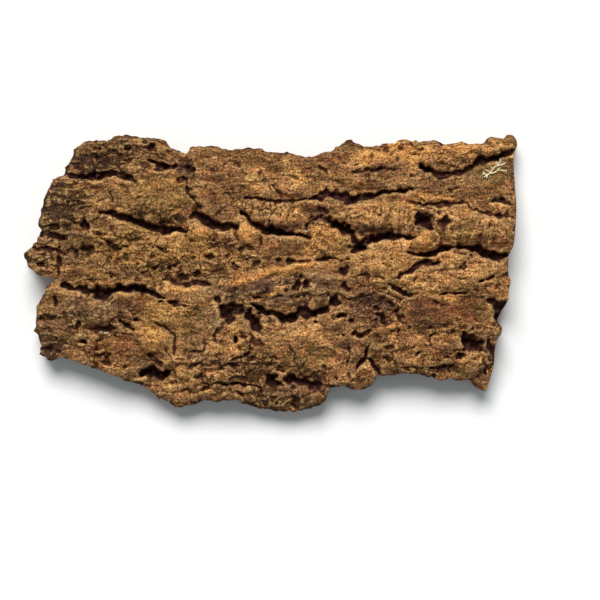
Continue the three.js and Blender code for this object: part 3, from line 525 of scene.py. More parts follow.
def fissured(x, y, wx, wy):
    """Depth of the fissures and pits. The plate behind a fissure rounds over into it, and the plate
    before it ends in a crisp wall."""
    swell = 1 + varied(FISSURE_SWELL, x, y)
    frayed = 1 + varied(FISSURE_FRAY, x, y)
    ragged = swell * (1 + varied(PIT_RAGS, x, y))
    deepest = np.zeros(x.shape)
    for half, depth, bank, path in FISSURES:
        signed, share = follow(path, wx, wy)
        width = tapered(share) * swell
        behind = signed > 0
        side = np.where(behind, BANK_SPREAD * bank, WALL_SPREAD * half)
        reach = np.abs(signed) / (side * width * frayed)
        core = 1 / (1 + reach ** np.where(behind, BANK_POWER, WALL_POWER))
        shoulder = np.where(behind, SHOULDER, SHOULDER_BEFORE) * np.exp(-((reach / SHOULDER_SPREAD) ** 2))
        deepest = np.maximum(deepest, depth * np.sqrt(width) * np.maximum(core, shoulder))
    for px, py, rx, ry, depth in PITS + SMALL_PITS:
        reach = np.hypot((wx - px) / rx, (wy - py) / ry) / ragged
        deepest = np.maximum(deepest, PIT_GAIN * depth / (1 + reach**PIT_POWER))
    return deepest


def cracked(x, y, wx, wy):
    """Depth of the thin cracks."""
    broken = np.clip(CRACK_OPEN + varied(CRACK_BREAKS, x, y), CRACK_LEAST, CRACK_MOST)
    thin = np.zeros(x.shape)
    for half, depth, path in THIN_CRACKS:
        signed, share = follow(path, wx, wy)
        width = tapered(share) * broken
        reach = np.abs(signed) / (half * width)
        thin = np.maximum(thin, depth * np.sqrt(width) / (1 + reach**CRACK_POWER))
    return thin


def carved(x, y):
    """Depth that fissures, pits and thin cracks take out of the bark."""
    wx, wy = wandered(x, y)
    deepest = fissured(x, y, wx, wy)
    lumpy = 1 + varied(FLOOR_LUMPS, x, y)
    return deepest * lumpy + cracked(x, y, wx, wy) * (1 - np.clip(deepest / CRACK_LOST, 0, 1))


def turned(x, y, px, py, turn):
    """Points as seen from a centre, along and across an axis turned by some degrees."""
    angle = math.radians(turn)
    along = (x - px) * math.cos(angle) + (y - py) * math.sin(angle)
    across = (y - py) * math.cos(angle) - (x - px) * math.sin(angle)
    return along, across


def patches(table, x, y, wander_share=1.0):
    """Strength of a table's soft patches, with wandering borders."""
    dx, dy = wander(x, y, *PATCH_WANDER)
    wx = x + wander_share * dx
    wy = y + wander_share * dy
    strength = np.zeros(x.shape)
    for px, py, rx, ry, turn, amount in table:
        along, across = turned(wx, wy, px, py, turn)
        inside = 1 - fade(1 - PATCH_SOFTNESS, 1 + PATCH_SOFTNESS, np.hypot(along / rx, across / ry))
        strength = np.maximum(strength, amount * inside)
    return strength


def lobed(x, y):
    """1 on the lobed flakes and 0 off them, with wandering edges, and how far they lift at the back."""
    wx, wy = wandered(x, y)
    dx, dy = wander(x, y, *LOBE_WANDER)
    cover = np.zeros(x.shape)
    lift = np.zeros(x.shape)
    for px, py, rx, ry in LOBES:
        along = (wx + dx - px) / rx
        across = (wy + dy - py) / ry
        inside = 1 - fade(LOBE_EDGE, 1, np.hypot(along, across))
        cover = np.maximum(cover, inside)
        lift = np.maximum(lift, inside * fade(-1, 1, across))
    return cover, lift


def ridged(x, y):
    """Height of the sharp ridges, and how fresh the cork on them is."""
    wx, wy = wandered(x, y)
    height = np.zeros(x.shape)
    fresh = np.zeros(x.shape)
    for half, rise, freshness, path in RIDGES:
        signed, share = follow(path, wx, wy)
        crest = np.clip(1 - np.abs(signed) / half, 0, 1) * tapered(share)
        height = np.maximum(height, rise * crest)
        fresh = np.maximum(fresh, freshness * fade(0, RIDGE_FRESH, crest))
    return height, fresh


def raised(x, y):
    """Height that the plates and lumps add."""
    height = np.zeros(x.shape)
    for px, py, rx, ry, turn, rise in PLATES:
        along, across = turned(x, y, px, py, turn)
        inside = np.clip(1 - (along / rx) ** 2 - (across / ry) ** 2, 0, 1)
        height = height + PLATE_GAIN * rise * fade(0, 1, inside)
    return height


def foot_clearance(x, y):
    """0 on the flat feet, 1 away from them."""
    clear = np.ones(x.shape)
    for fx, fy in FEET:
        clear = clear * fade(FOOT_FLAT, FOOT_FADE, np.hypot(x - fx, y - fy))
    return clear


def inner_face(x, y):
    """The hollow inner face, which comes down flat to the ground at the feet."""
    arch = ARCH_CLEARANCE + ARCH_RISE * (1 - (2 * y / WIDTH) ** 2)
    return np.maximum(arch, 0) * foot_clearance(x, y)


def outer_form(x, y, rim):
    """The outer face without its fissures: an arch with plates and lumps that rounds over at the rim."""
    across = (2 * y / WIDTH) ** 2
    arch = ARCH_CLEARANCE + ARCH_RISE * (1 - across)
    thick = mix(THICK_CENTRE, THICK_EDGE, across)
    droop = END_DROOP * np.clip((DROOP_START - x) / (DROOP_START + LENGTH / 2), 0, 1) ** 2
    rounding = RIM_DROP * (1 - fade(0, RIM_ROUND, rim))
    return arch + thick - droop - rounding + raised(x, y) + relief(BROAD_RELIEF, x, y)


# Layers of the crust that flaked off in steps: wavelengths along and across the grain, layers, height
# of a step, seed, and the share of it that is left on smooth skin
TERRACES = [(46, 20, 2.2, 2.2, 131, 0.6), (20, 10, 2.2, 1.2, 141, 0.25), (8, 5, 2, 0.6, 151, 0.1)]
TERRACE_OCTAVES = 4
TERRACE_EDGE = 0.05
# Flakes and crumbs: size along and across the grain, step between flakes, tilt of a flake, depth and
# width of the grooves round it, seed, and the share that is left on smooth skin
FLAKES = [
    (15, 8, 2.2, 3.0, 1.4, 0.08, 171, 0.12),
    (6.6, 4.2, 0.8, 1.3, 0.6, 0.15, 271, 0.1),
]
# Flakes with a number past these lift, and the share of the groove round those that don't
FLAKE_LIFT = (0.4, 0.55)
FLAT_GROOVE = 0.5
# Pin holes: spacing along and across the grain, seed, share of the spots that have one, depth,
# where their walls lie, and the share that is left on smooth skin
PIN_HOLES = (8.5, 6.0, 371)
PIN_HOLE_SHARE = 0.5
PIN_HOLE_DEPTH = 3.2
PIN_HOLE_WALL = (0.5, 0.62)
PIN_HOLES_LEFT = 0.2
# Growth lines: spacing, height, and how they sway, in spacings, with wavelengths and seed
GROWTH_SPACING = 2.4
GROWTH_STEP = 0.7
GROWTH_SWAY = [(0.4, 20, 6, 91)]


def terraces(x, y, along, across, layers, seed):
    """Height, in layers, of a crust whose layers end in crisp steps."""
    field = np.zeros(x.shape)
    for octave in range(TERRACE_OCTAVES):
        scale = 2**octave
        field = field + noise(scale * x / along, scale * y / across, seed + octave) / scale
    level = layers * field / 2
    whole = np.floor(level)
    return whole + fade(0.5 - TERRACE_EDGE, 0.5 + TERRACE_EDGE, level - whole)


def skin_relief(x, y, crumbly):
    """Fine relief: flaked layers, crumbs and pin holes where the bark crumbles, growth lines elsewhere."""
    wx, wy = wandered(x, y)
    height = relief(FINE_RELIEF, x, y)
    for along, across, layers, step, seed, kept in TERRACES:
        height = height + mix(kept, 1, crumbly) * step * terraces(wx, wy, along, across, layers, seed)
    for size_x, size_y, step, tilt, groove, width, seed, kept in FLAKES:
        inside, number, slope = flakes(wx, wy, size_x, size_y, seed)
        edge = fade(0, width, inside)
        lifted = fade(*FLAKE_LIFT, number)
        face = lifted * edge * (step * (number - 0.5) + tilt * slope)
        gap = groove * (1 - edge) * mix(FLAT_GROOVE, 1, lifted)
        height = height + mix(kept, 1, crumbly) * (face - gap)
    inside, number, _ = flakes(wx, wy, *PIN_HOLES)
    holes = fade(*PIN_HOLE_WALL, inside) * (number < PIN_HOLE_SHARE)
    height = height - mix(PIN_HOLES_LEFT, 1, crumbly) * PIN_HOLE_DEPTH * holes
    growth = np.mod(wy / GROWTH_SPACING + relief(GROWTH_SWAY, x, y), 1.0)
    return height - GROWTH_STEP * (growth - 0.5) * (1 - crumbly)


def striated(x, y):
    """1 in the short cracks that cross the grain, 0 away from them."""
    along, across, seed = STRIATION
    wx, wy = wandered(x, y)
    near = 1 - np.abs(noise(wx / along, wy / across, seed))
    return patches(STRIATED, x, y) * fade(*STRIATION_EDGE, near)


def edge_curve(points):
    """A smooth curve through given points, as a function of the share of its length."""
    ends = [points[0], *points, points[-1]]
    p = np.array(ends, dtype=float)
    t = np.linspace(0, 1, CURVE_STEPS, endpoint=False)[:, None]
    pieces = []
    for a, b, c, d in zip(p, p[1:], p[2:], p[3:]):
        bend = (2 * a - 5 * b + 4 * c - d) * t**2 + (3 * b - a - 3 * c + d) * t**3
        pieces.append(0.5 * (2 * b + (c - a) * t + bend))
    dense = np.vstack([*pieces, p[-1:]])
    run = np.concatenate([[0], np.cumsum(np.hypot(*np.diff(dense, axis=0).T))])
    run /= run[-1]
    return lambda share: np.stack([np.interp(share, run, dense[:, k]) for k in (0, 1)], axis=-1)


front = edge_curve(FRONT_EDGE)
right = edge_curve(RIGHT_EDGE)
back = edge_curve(BACK_EDGE)
left = edge_curve(LEFT_EDGE)


def plan_point(u, v):
    """Plan point of the slab for u along the grain and v across it, both from 0 to 1."""
    us = u[:, None]
    vs = v[:, None]
    ends = (FRONT_EDGE[0], FRONT_EDGE[-1], BACK_EDGE[0], BACK_EDGE[-1])
    corners = [np.array(end, dtype=float) for end in ends]
    flat = mix(mix(corners[0], corners[1], us), mix(corners[2], corners[3], us), vs)
    plan = mix(front(u), back(u), vs) + mix(left(v), right(v), us) - flat
    return plan[:, 0], plan[:, 1]


def jagged(x, y, u, v):
    """Plan points with the rim broken into small jags, except at the sawn end."""
    rim = np.minimum(np.minimum(u * LENGTH, SAWN_RIM * (1 - u)), np.minimum(v, 1 - v) * WIDTH)
    share = (1 - fade(0, JAG_REACH, rim)) * (1 - fade(SAWN_FROM, 1, u))
    dx = sum(shift * noise(x / length, y / length, seed) for shift, length, seed, _ in JAGS)
    dy = sum(shift * noise(x / length, y / length, seed) for shift, length, _, seed in JAGS)
    return x + share * dx, y + share * dy


def deselect():
    if bpy.context.object and bpy.context.object.mode != "OBJECT":
        bpy.ops.object.mode_set(mode="OBJECT")
    bpy.ops.object.select_all(action="DESELECT")


def pick_vertices(piece, chosen):
    """Selects the chosen vertices of a piece and leaves it in edit mode."""
    bpy.ops.object.mode_set(mode="OBJECT")
    mesh = piece.data
    mesh.polygons.foreach_set("select", np.zeros(len(mesh.polygons), dtype=bool))
    mesh.edges.foreach_set("select", np.zeros(len(mesh.edges), dtype=bool))
    mesh.vertices.foreach_set("select", chosen)
    bpy.ops.object.mode_set(mode="EDIT")
    bpy.ops.mesh.select_mode(type="VERT")


def vertex_places(piece):
    places = np.empty(3 * len(piece.data.vertices))
    piece.data.vertices.foreach_get("co", places)
    return places.reshape(-1, 3)


def slab_blank():
    """A unit blank of the slab: outer grid at z 0, edge levels down to z -1, coarser inner grid at z -1."""
    deselect()
    bpy.ops.mesh.primitive_grid_add(x_subdivisions=CELLS_ALONG, y_subdivisions=CELLS_ACROSS, size=1)
    blank = bpy.context.object
    bpy.ops.object.mode_set(mode="EDIT")
    bpy.ops.mesh.select_all(action="SELECT")
    bpy.ops.mesh.region_to_loop()
    for _ in range(WALL_LEVELS):
        bpy.ops.mesh.extrude_edges_move(TRANSFORM_OT_translate={"value": (0, 0, -1 / WALL_LEVELS)})
    bpy.ops.object.mode_set(mode="OBJECT")
    x, y, z = vertex_places(blank).T
    column = np.rint((x + 0.5) * CELLS_ALONG).astype(int)
    row = np.rint((y + 0.5) * CELLS_ACROSS).astype(int)
    between = (column % INNER_SPAN != 0) | (row % INNER_SPAN != 0)
    pick_vertices(blank, (z < -1 + HALF_LEVEL) & between)
    bpy.ops.mesh.dissolve_verts()
    deselect()
    bpy.ops.mesh.primitive_grid_add(
        x_subdivisions=CELLS_ALONG // INNER_SPAN,
        y_subdivisions=CELLS_ACROSS // INNER_SPAN,
        size=1,
        location=(0, 0, -1),
    )
    under = bpy.context.object
    bpy.ops.object.transform_apply(location=True)
    bpy.ops.object.mode_set(mode="EDIT")
    bpy.ops.mesh.select_all(action="SELECT")
    bpy.ops.mesh.flip_normals()
    bpy.ops.object.mode_set(mode="OBJECT")
    under.select_set(True)
    blank.select_set(True)
    bpy.context.view_layer.objects.active = blank
    bpy.ops.object.join()
    bpy.ops.object.mode_set(mode="EDIT")
    bpy.ops.mesh.select_all(action="SELECT")
    bpy.ops.mesh.remove_doubles(threshold=WELD_SHARE / CELLS_ALONG)
    bpy.ops.mesh.normals_make_consistent(inside=False)
    bpy.ops.object.mode_set(mode="OBJECT")
    return blank


def blurred(grid, reach):
    """Box blur of a grid of heights, repeated twice, with its borders held."""
    for _ in range(2):
        for axis in (0, 1):
            pad = [(reach, reach) if k == axis else (0, 0) for k in (0, 1)]
            total = np.cumsum(np.pad(grid, pad, mode="edge"), axis=axis)
            total = np.insert(total, 0, 0, axis=axis)
            ends = np.split(total, [2 * reach + 1], axis=axis)[1]
            starts = np.split(total, [total.shape[axis] - 2 * reach - 1], axis=axis)[0]
            grid = (ends - starts) / (2 * reach + 1)
    return grid


# Broken edge: how far it is bitten back, over what run, its layers and the share of them at its rims,
# the sawn end's layers, where along the slab that end starts, and how far in the bite points
WALL_BITE = 1.6
WALL_BITE_RUN = 24.0
WALL_BITE_SEED = 31
WALL_LAYERS = [(0.7, 9, 3.0, 33), (0.45, 3.5, 1.8, 34)]
WALL_LAYERS_LEFT = 0.2
SAWN_LAYERS = [(0.18, 14, 2.2, 35)]
SAWN_FROM = 0.985
RIM_INSET = 0.012
# Distances in millimetres that count as on the rim and as none
ON_RIM = 1e-3
LEAST_REACH = 1e-6
# Inner face: long shallow ribs
INNER_RIBS = [(0.5, 46, 6.5, 36), (0.3, 24, 5.2, 37), (0.2, 7, 6, 38)]
# Spots where hair cracks and small pits are open
BRITTLE_SPOTS = [(0.45, 15, 9, 81), (0.25, 6, 4, 82)]
# How brittle smooth and crumbly bark is, and how ochre the lobes and the fresh ridges are
BRITTLE_RANGE = (0.1, 0.8)
LOBE_OCHRE = 1.1
RIDGE_OCHRE = 1.4
# Masks of how far the outer face stands out, where highlights are painted on edges and crests and
# shade in hollows: name, and reach of the blur in cells
CAVITIES = [("edge", 1), ("crest", 3), ("rise", 10)]


def store(piece, name, values):
    layer = piece.data.attributes.new(name, "FLOAT", "POINT")
    layer.data.foreach_set("value", values.astype(np.float32))


def edge_bite(x, y, u, v, level, height):
    """How far the edge is bitten back: hollow and layered where it is broken, finely layered where sawn."""
    turn = np.where(np.abs(v - 0.5) > np.abs(u - 0.5), x, y)
    hollow = WALL_BITE * (1 + noise(turn / WALL_BITE_RUN, np.zeros(x.shape), WALL_BITE_SEED))
    fullness = np.minimum(1, 4 * level * (1 - level) + WALL_LAYERS_LEFT)
    broken = hollow * np.sin(np.pi * level) + np.abs(relief(WALL_LAYERS, turn, height)) * fullness
    return mix(broken, np.abs(relief(SAWN_LAYERS, turn, height)), fade(SAWN_FROM, 1, u))


def store_cavities(bark, u, v, outer, top):
    """Masks of edges, crests and broad rises: how far the outer face stands above its blurred heights,
    where the material paints highlights above and shade below.
    """
    heights = np.zeros((CELLS_ALONG + 1, CELLS_ACROSS + 1))
    column = np.rint(u * CELLS_ALONG).astype(int)
    row = np.rint(v * CELLS_ACROSS).astype(int)
    heights[column[outer], row[outer]] = top[outer]
    for name, cells in CAVITIES:
        above = heights - blurred(heights, cells)
        store(bark, name, np.where(outer, above[column, row], 0))


def store_tones(bark, x, y, lobes, fresh):
    """Masks of the bark's tones."""
    broken = np.maximum(LOBE_OCHRE * lobes, RIDGE_OCHRE * fresh)
    store(bark, "ochre", np.maximum(patches(OCHRE, x, y), broken))
    store(bark, "fresh", np.maximum(fresh, patches(LIGHT, x, y)))
    store(bark, "pale", patches(PALE, x, y, PALE_WANDER))
    tables = {"grey": GREY, "russet": RUSSET, "shade": SHADE, "plum": PLUM, "moss": MOSS}
    for name, table in tables.items():
        store(bark, name, patches(table, x, y))


def model_bark():
    """The bark slab with its fine relief, and the masks that its material reads."""
    bark = slab_blank()
    bark.name = "cork_bark_fine"
    blank = vertex_places(bark)
    u = np.clip(blank[:, 0] + 0.5, 0, 1)
    v = np.clip(blank[:, 1] + 0.5, 0, 1)
    level = np.clip(-blank[:, 2], 0, 1)
    outer = level < HALF_LEVEL
    inner = level > 1 - HALF_LEVEL
    x, y = jagged(*plan_point(u, v), u, v)
    rim = np.minimum(np.minimum(u, 1 - u) * LENGTH, np.minimum(v, 1 - v) * WIDTH)
    wall = (level > 0) & (rim < ON_RIM)

    crumbly = np.clip(patches(CRUMBLY, x, y), 0, 1)
    lobes, lift = lobed(x, y)
    ridges, fresh = ridged(x, y)
    depth = carved(x, y) * (1 - lobes)
    striation = striated(x, y)
    top = outer_form(x, y, rim) + LOBE_RISE * lift + ridges - depth
    top = top + skin_relief(x, y, crumbly) - STRIATION_DEPTH * striation
    bottom = inner_face(x, y)
    top = np.maximum(top, bottom + THINNEST)
    under = np.maximum(bottom + relief(INNER_RIBS, x, y) * foot_clearance(x, y), 0)

    inset_x, inset_y = plan_point(np.clip(u, RIM_INSET, 1 - RIM_INSET), np.clip(v, RIM_INSET, 1 - RIM_INSET))
    reach = np.maximum(np.hypot(inset_x - x, inset_y - y), LEAST_REACH)
    height = mix(top, under, level)
    bite = np.where(wall, edge_bite(x, y, u, v, level, height), 0)
    px = x + bite * (inset_x - x) / reach
    py = y + bite * (inset_y - y) / reach
    pz = np.where(inner, under, np.where(wall, height, top))
    bark.data.vertices.foreach_set("co", np.stack([px, py, pz], axis=1).ravel() * MM)
    bark.data.update()

    store_cavities(bark, u, v, outer, top)
    store_tones(bark, x, y, lobes, fresh)
    # Depth of the fissures and cracks, which the material darkens as painted shade
    store(bark, "crack", np.where(outer, depth, 0))
    store(bark, "brittle", np.clip(mix(*BRITTLE_RANGE, crumbly) + relief(BRITTLE_SPOTS, x, y), 0, 1))
    store(bark, "striation", striation)
    store(bark, "wall", np.where(wall & ~inner, 1.0, 0.0))
    store(bark, "inner", np.where(inner, 1.0, 0.0))
    deselect()
    bark.select_set(True)
    bpy.context.view_layer.objects.active = bark
    bpy.ops.object.shade_smooth()
    return bark


def linear(hex_colour):
    """An sRGB hex colour as linear red, green, blue and alpha."""
    parts = [int(hex_colour[k:k + 2], 16) / 255 for k in (1, 3, 5)]
    return [c / 12.92 if c <= 0.04045 else ((c + 0.055) / 1.055) ** 2.4 for c in parts] + [1.0]


def per_mm(size):
    """Noise scale, per metre, for a feature of a size in millimetres."""
    return 1000.0 / size


def add(tree, kind, settings=None, output=None, ramp=(), **inputs):
    """Adds a node with its settings, ramp colours and inputs, and gives the named or first output."""
    node = tree.nodes.new(kind)
    for name, value in (settings or {}).items():
        setattr(node, name, value)
    for place, (position, colour) in enumerate(ramp):
        stops = node.color_ramp.elements
        stop = stops[place] if place < 2 else stops.new(position)
        stop.position = position
        stop.color = linear(colour)
    for name, value in inputs.items():
        socket = next(s for s in node.inputs if name == s.identifier or name.replace("_", " ") == s.name)
        if isinstance(value, bpy.types.NodeSocket):
            tree.links.new(value, socket)
        else:
            socket.default_value = value
    if output:
        return next(s for s in node.outputs if output in (s.identifier, s.name))
    return node.outputs[0] if node.outputs else None


def new_material(name):
    material = bpy.data.materials.new(name)
    material.use_nodes = True
    material.node_tree.nodes.clear()
    return material, material.node_tree


# Colours of the bark
BARK_BROWN = [(0.3, "#4E2F18"), (0.44, "#744E2E"), (0.56, "#946A43"), (0.72, "#B88C5E")]
FRESH_CORK = [(0.28, "#784D28"), (0.44, "#A87643"), (0.58, "#C6945C"), (0.76, "#E6BA84")]
WEATHERED_GREY = [(0.28, "#523A26"), (0.5, "#80644A"), (0.72, "#A88A68")]
# Red-brown layer, in places painted as shade on the lower sides of rolls
RUSSET_AND_PAINTED_SHADE = [(0.3, "#562C16"), (0.5, "#8A5230"), (0.72, "#B27A4C")]
# Dark stained bark, in places painted as shade
STAIN_AND_PAINTED_SHADE = [(0.3, "#261710"), (0.7, "#4E3725")]
EDGE_LAYERS = [(0.3, "#4A2F1A"), (0.5, "#80592F"), (0.7, "#A67E48")]
INNER_BARK = [(0.3, "#7A4E2C"), (0.5, "#A06C40"), (0.7, "#BE8C5A")]
PALE_SPECK = "#DCD2BE"
MOSS_TINT = "#8C6E36"
# Purple-brown bark, in places painted as shade along fissures and under plates
PLUM_BARK_AND_PAINTED_SHADE = "#5C3A32"
ORANGE_CORK = "#D2924E"
# Painted shade in hollows, broad low places and small pits
PAINTED_HOLLOW_SHADE = "#3C1D0D"
# Painted highlight on edges and crests
PAINTED_CREST_HIGHLIGHT = "#D0A26A"
# Painted shade that deepens down the fissures
PAINTED_FISSURE_SHADE = "#4A2622"
PAINTED_FISSURE_FLOOR_SHADE = "#24100F"
# Painted shade in hair cracks and in the short cracks across the grain
PAINTED_HAIR_CRACK_SHADE = "#3A1A0C"
# Hues that vary over the cork: channel of the mottling, where it sets in, how strong it is, colour
HUES = [
    ("Red", 0.5, 0.64, 0.32, "#8C7640"), ("Green", 0.52, 0.64, 0.45, "#8A4C34"),
    ("Blue", 0.54, 0.66, 0.55, "#C27E38"),
]
# Hair cracks and small pits, in the bump and in painted shade: kind of cells, colour, cell size in
# millimetres, reach in cells, and the brittleness at which they open
OPENINGS = [
    ("DISTANCE_TO_EDGE", PAINTED_HAIR_CRACK_SHADE, 13.0, 0.03, 0.25),
    ("DISTANCE_TO_EDGE", PAINTED_HAIR_CRACK_SHADE, 6.0, 0.045, 0.5),
    ("F1", PAINTED_HOLLOW_SHADE, 4.2, 0.24, 0.4),
]
# Noise patterns: stretch along each axis, size in millimetres, detail, roughness
GRAIN = (0.45, 1, 1)
PATTERNS = {
    "broad": (GRAIN, 12, 8, 0.68),
    "middle": (GRAIN, 5, 7, 0.7),
    "crumb": ((1, 1, 1), 3.4, 7, 0.78),
    "fibres": ((0.12, 1, 1), 2.0, 5, 0.65),
    "layers": ((0.15, 0.15, 1), 2.6, 5, 0.65),
    "grit": ((1, 1, 1), 1.1, 3, 0.8),
}
# Tones over the brown: mask, colours, pattern of the colours, pattern of the border, strength
COVERS = [
    ("grey", WEATHERED_GREY, "middle", "middle", 0.7),
    ("russet", RUSSET_AND_PAINTED_SHADE, "fibres", "broad", 0.75),
    ("ochre", FRESH_CORK, "crumb", "middle", 0.95),
    ("shade", STAIN_AND_PAINTED_SHADE, "middle", "broad", 0.93),
    ("wall", EDGE_LAYERS, "layers", "layers", 1.0),
    ("inner", INNER_BARK, "fibres", "fibres", 1.0),
]
# Greys that darken and lighten the colour under them: grit of the cork, whose dark specks also paint
# shade for tiny pits, and broader mottling
GRIT_AND_PAINTED_PIT_SHADE = [(0.35, "#000000"), (0.45, "#989898"), (0.53, "#C4C4C4"), (0.63, "#FFFFFF")]
MOTTLE = [(0.32, "#747474"), (0.5, "#BCBCBC"), (0.68, "#F4F4F4")]
# Pattern, greys and strength of each
SPECKLES = [("middle", MOTTLE, 0.7), ("grit", GRIT_AND_PAINTED_PIT_SHADE, 1.0)]
# Tints over the tones: attribute, value where the tint sets in, value where it is full, strength, colour
TINTS = [
    # Positive edge and crest tints are painted highlights, negative ones painted shade; the striation, rise
    # and crack tints are painted shade, and the plum tint is partly painted shade
    ("edge", 0.1, 0.5, 0.34, PAINTED_CREST_HIGHLIGHT),
    ("crest", 0.3, 1.6, 0.3, PAINTED_CREST_HIGHLIGHT),
    ("edge", -0.08, -0.5, 0.6, PAINTED_HOLLOW_SHADE),
    ("fresh", 0.2, 0.9, 0.6, ORANGE_CORK),
    ("crest", -0.3, -1.5, 0.6, PAINTED_HOLLOW_SHADE),
    ("striation", 0.15, 0.8, 0.5, PAINTED_HAIR_CRACK_SHADE),
    ("rise", -1.5, -5.0, 0.35, PAINTED_HOLLOW_SHADE),
    ("plum", 0.2, 0.9, 0.5, PLUM_BARK_AND_PAINTED_SHADE),
    ("moss", 0.2, 0.9, 0.38, MOSS_TINT),
    ("crack", 2.2, 5.0, 0.65, PAINTED_FISSURE_SHADE),
    ("crack", 5.0, 9.0, 0.45, PAINTED_FISSURE_FLOOR_SHADE),
    ("pale", 0.3, 0.8, 0.9, PALE_SPECK),
]
# How far hair cracks and pits are crumpled, in millimetres, and the depth of the bump
CRUMPLE = 5.0
BARK_BUMP = 0.8
# Covers: how much their pattern frays the borders, and the sums where they set in and are full
COVER_FRAY = 1.8
COVER_START = 1.0
COVER_FULL = 1.75
# Cracks and pits: share of the reach with a flat floor, run of brittleness over which they open, strength
OPENING_FLOOR = 0.4
OPENING_RUN = 0.25
OPENING_STRENGTH = 0.7
# Settings of the nodes that mix two colours, and of the ranges with soft ends
MIX_PLAIN = {"data_type": "RGBA"}
MIX_HUE = {"data_type": "RGBA", "blend_type": "COLOR"}
MIX_OVERLAY = {"data_type": "RGBA", "blend_type": "OVERLAY"}
SOFT_ENDS = {"interpolation_type": "SMOOTHSTEP"}


def cork_patterns(tree, place):
    """The bark's noise patterns by name."""
    patterns = {}
    for name, (stretch, size, detail, roughness) in PATTERNS.items():
        stretched = add(tree, "ShaderNodeMapping", Vector=place, Scale=stretch)
        patterns[name] = add(tree, "ShaderNodeTexNoise", Vector=stretched, Scale=per_mm(size),
                             Detail=detail, Roughness=roughness)
    return patterns


def cork_tones(tree, patterns):
    """Brown bark, with the other tones over it where their masks are strong."""
    colour = add(tree, "ShaderNodeValToRGB", ramp=BARK_BROWN, Fac=patterns["broad"])
    for name, ramp, pattern, border, strength in COVERS:
        tone = add(tree, "ShaderNodeValToRGB", ramp=ramp, Fac=patterns[pattern])
        mask = add(tree, "ShaderNodeAttribute", {"attribute_name": name}, output="Fac")
        uneven = add(tree, "ShaderNodeMath", {"operation": "MULTIPLY_ADD"},
                     Value=patterns[border], Value_001=COVER_FRAY, Value_002=mask)
        share = add(tree, "ShaderNodeMapRange", SOFT_ENDS,
                    Value=uneven, From_Min=COVER_START, From_Max=COVER_FULL, To_Max=strength)
        colour = add(tree, "ShaderNodeMix", MIX_PLAIN, output="Result_Color",
                     Factor_Float=share, A_Color=colour, B_Color=tone)
    return colour


def cork_tints(tree, colour, mottling):
    """The colour with varied hues, with painted highlights on crests and painted shade in hollows and in
    cracks.
    """
    for channel, low, high, strength, hue in HUES:
        spots = add(tree, "ShaderNodeSeparateColor", output=channel, Color=mottling)
        share = add(tree, "ShaderNodeMapRange", Value=spots, From_Min=low, From_Max=high, To_Max=strength)
        colour = add(tree, "ShaderNodeMix", MIX_HUE, output="Result_Color",
                     Factor_Float=share, A_Color=colour, B_Color=linear(hue))
    for name, low, high, strength, tint in TINTS:
        value = add(tree, "ShaderNodeAttribute", {"attribute_name": name}, output="Fac")
        share = add(tree, "ShaderNodeMapRange", SOFT_ENDS,
                    Value=value, From_Min=low, From_Max=high, To_Max=strength)
        colour = add(tree, "ShaderNodeMix", MIX_PLAIN, output="Result_Color",
                     Factor_Float=share, A_Color=colour, B_Color=linear(tint))
    return colour


def cork_openings(tree, colour, height, crumpled):
    """The colour and the height with hair cracks and small pits, where the bark is brittle; their dark
    colour is painted shade.
    """
    brittle = add(tree, "ShaderNodeAttribute", {"attribute_name": "brittle"}, output="Fac")
    for feature, tint, size, reach, opening in OPENINGS:
        near = add(tree, "ShaderNodeTexVoronoi", {"feature": feature}, output="Distance",
                   Vector=crumpled, Scale=per_mm(size), Randomness=1.0)
        inside = add(tree, "ShaderNodeMapRange", Value=near, From_Min=reach, From_Max=OPENING_FLOOR * reach)
        opened = add(tree, "ShaderNodeMapRange", Value=brittle, From_Min=opening,
                     From_Max=opening + OPENING_RUN, To_Max=OPENING_STRENGTH)
        share = add(tree, "ShaderNodeMath", {"operation": "MULTIPLY"}, Value=inside, Value_001=opened)
        colour = add(tree, "ShaderNodeMix", MIX_PLAIN, output="Result_Color",
                     Factor_Float=share, A_Color=colour, B_Color=linear(tint))
        height = add(tree, "ShaderNodeMath", {"operation": "SUBTRACT"}, Value=height, Value_001=share)
    return colour, height


def weathered_cork():
    """Raw cork oak bark: matte, grainy ochre cork where the skin has broken off, duller grey-brown
    skin where it has weathered, hair cracks and pits all over in painted shade, painted highlights on
    crests, and painted shade deepening to dark brown in the fissures."""
    material, tree = new_material("weathered_cork_bark")
    place = add(tree, "ShaderNodeTexCoord", output="Object")
    patterns = cork_patterns(tree, place)
    grain = add(tree, "ShaderNodeMapping", Vector=place, Scale=GRAIN)
    mottling = add(tree, "ShaderNodeTexNoise", output="Color",
                   Vector=place, Scale=per_mm(8), Detail=3, Roughness=0.6)
    crumpled = add(tree, "ShaderNodeVectorMath", {"operation": "MULTIPLY_ADD"},
                   Vector=mottling, Vector_001=[CRUMPLE * MM] * 3, Vector_002=grain)
    colour = cork_tints(tree, cork_tones(tree, patterns), mottling)
    colour, height = cork_openings(tree, colour, patterns["grit"], crumpled)
    for pattern, speckle, strength in SPECKLES:
        spots = add(tree, "ShaderNodeValToRGB", ramp=speckle, Fac=patterns[pattern])
        colour = add(tree, "ShaderNodeMix", MIX_OVERLAY, output="Result_Color",
                     Factor_Float=strength, A_Color=colour, B_Color=spots)
    bump = add(tree, "ShaderNodeBump", Height=height, Strength=1.0, Distance=BARK_BUMP * MM)
    shader = add(tree, "ShaderNodeBsdfPrincipled", Base_Color=colour, Roughness=0.92, Normal=bump,
                 Specular_IOR_Level=0.2, IOR=1.4)
    add(tree, "ShaderNodeOutputMaterial", Surface=shader)
    return material


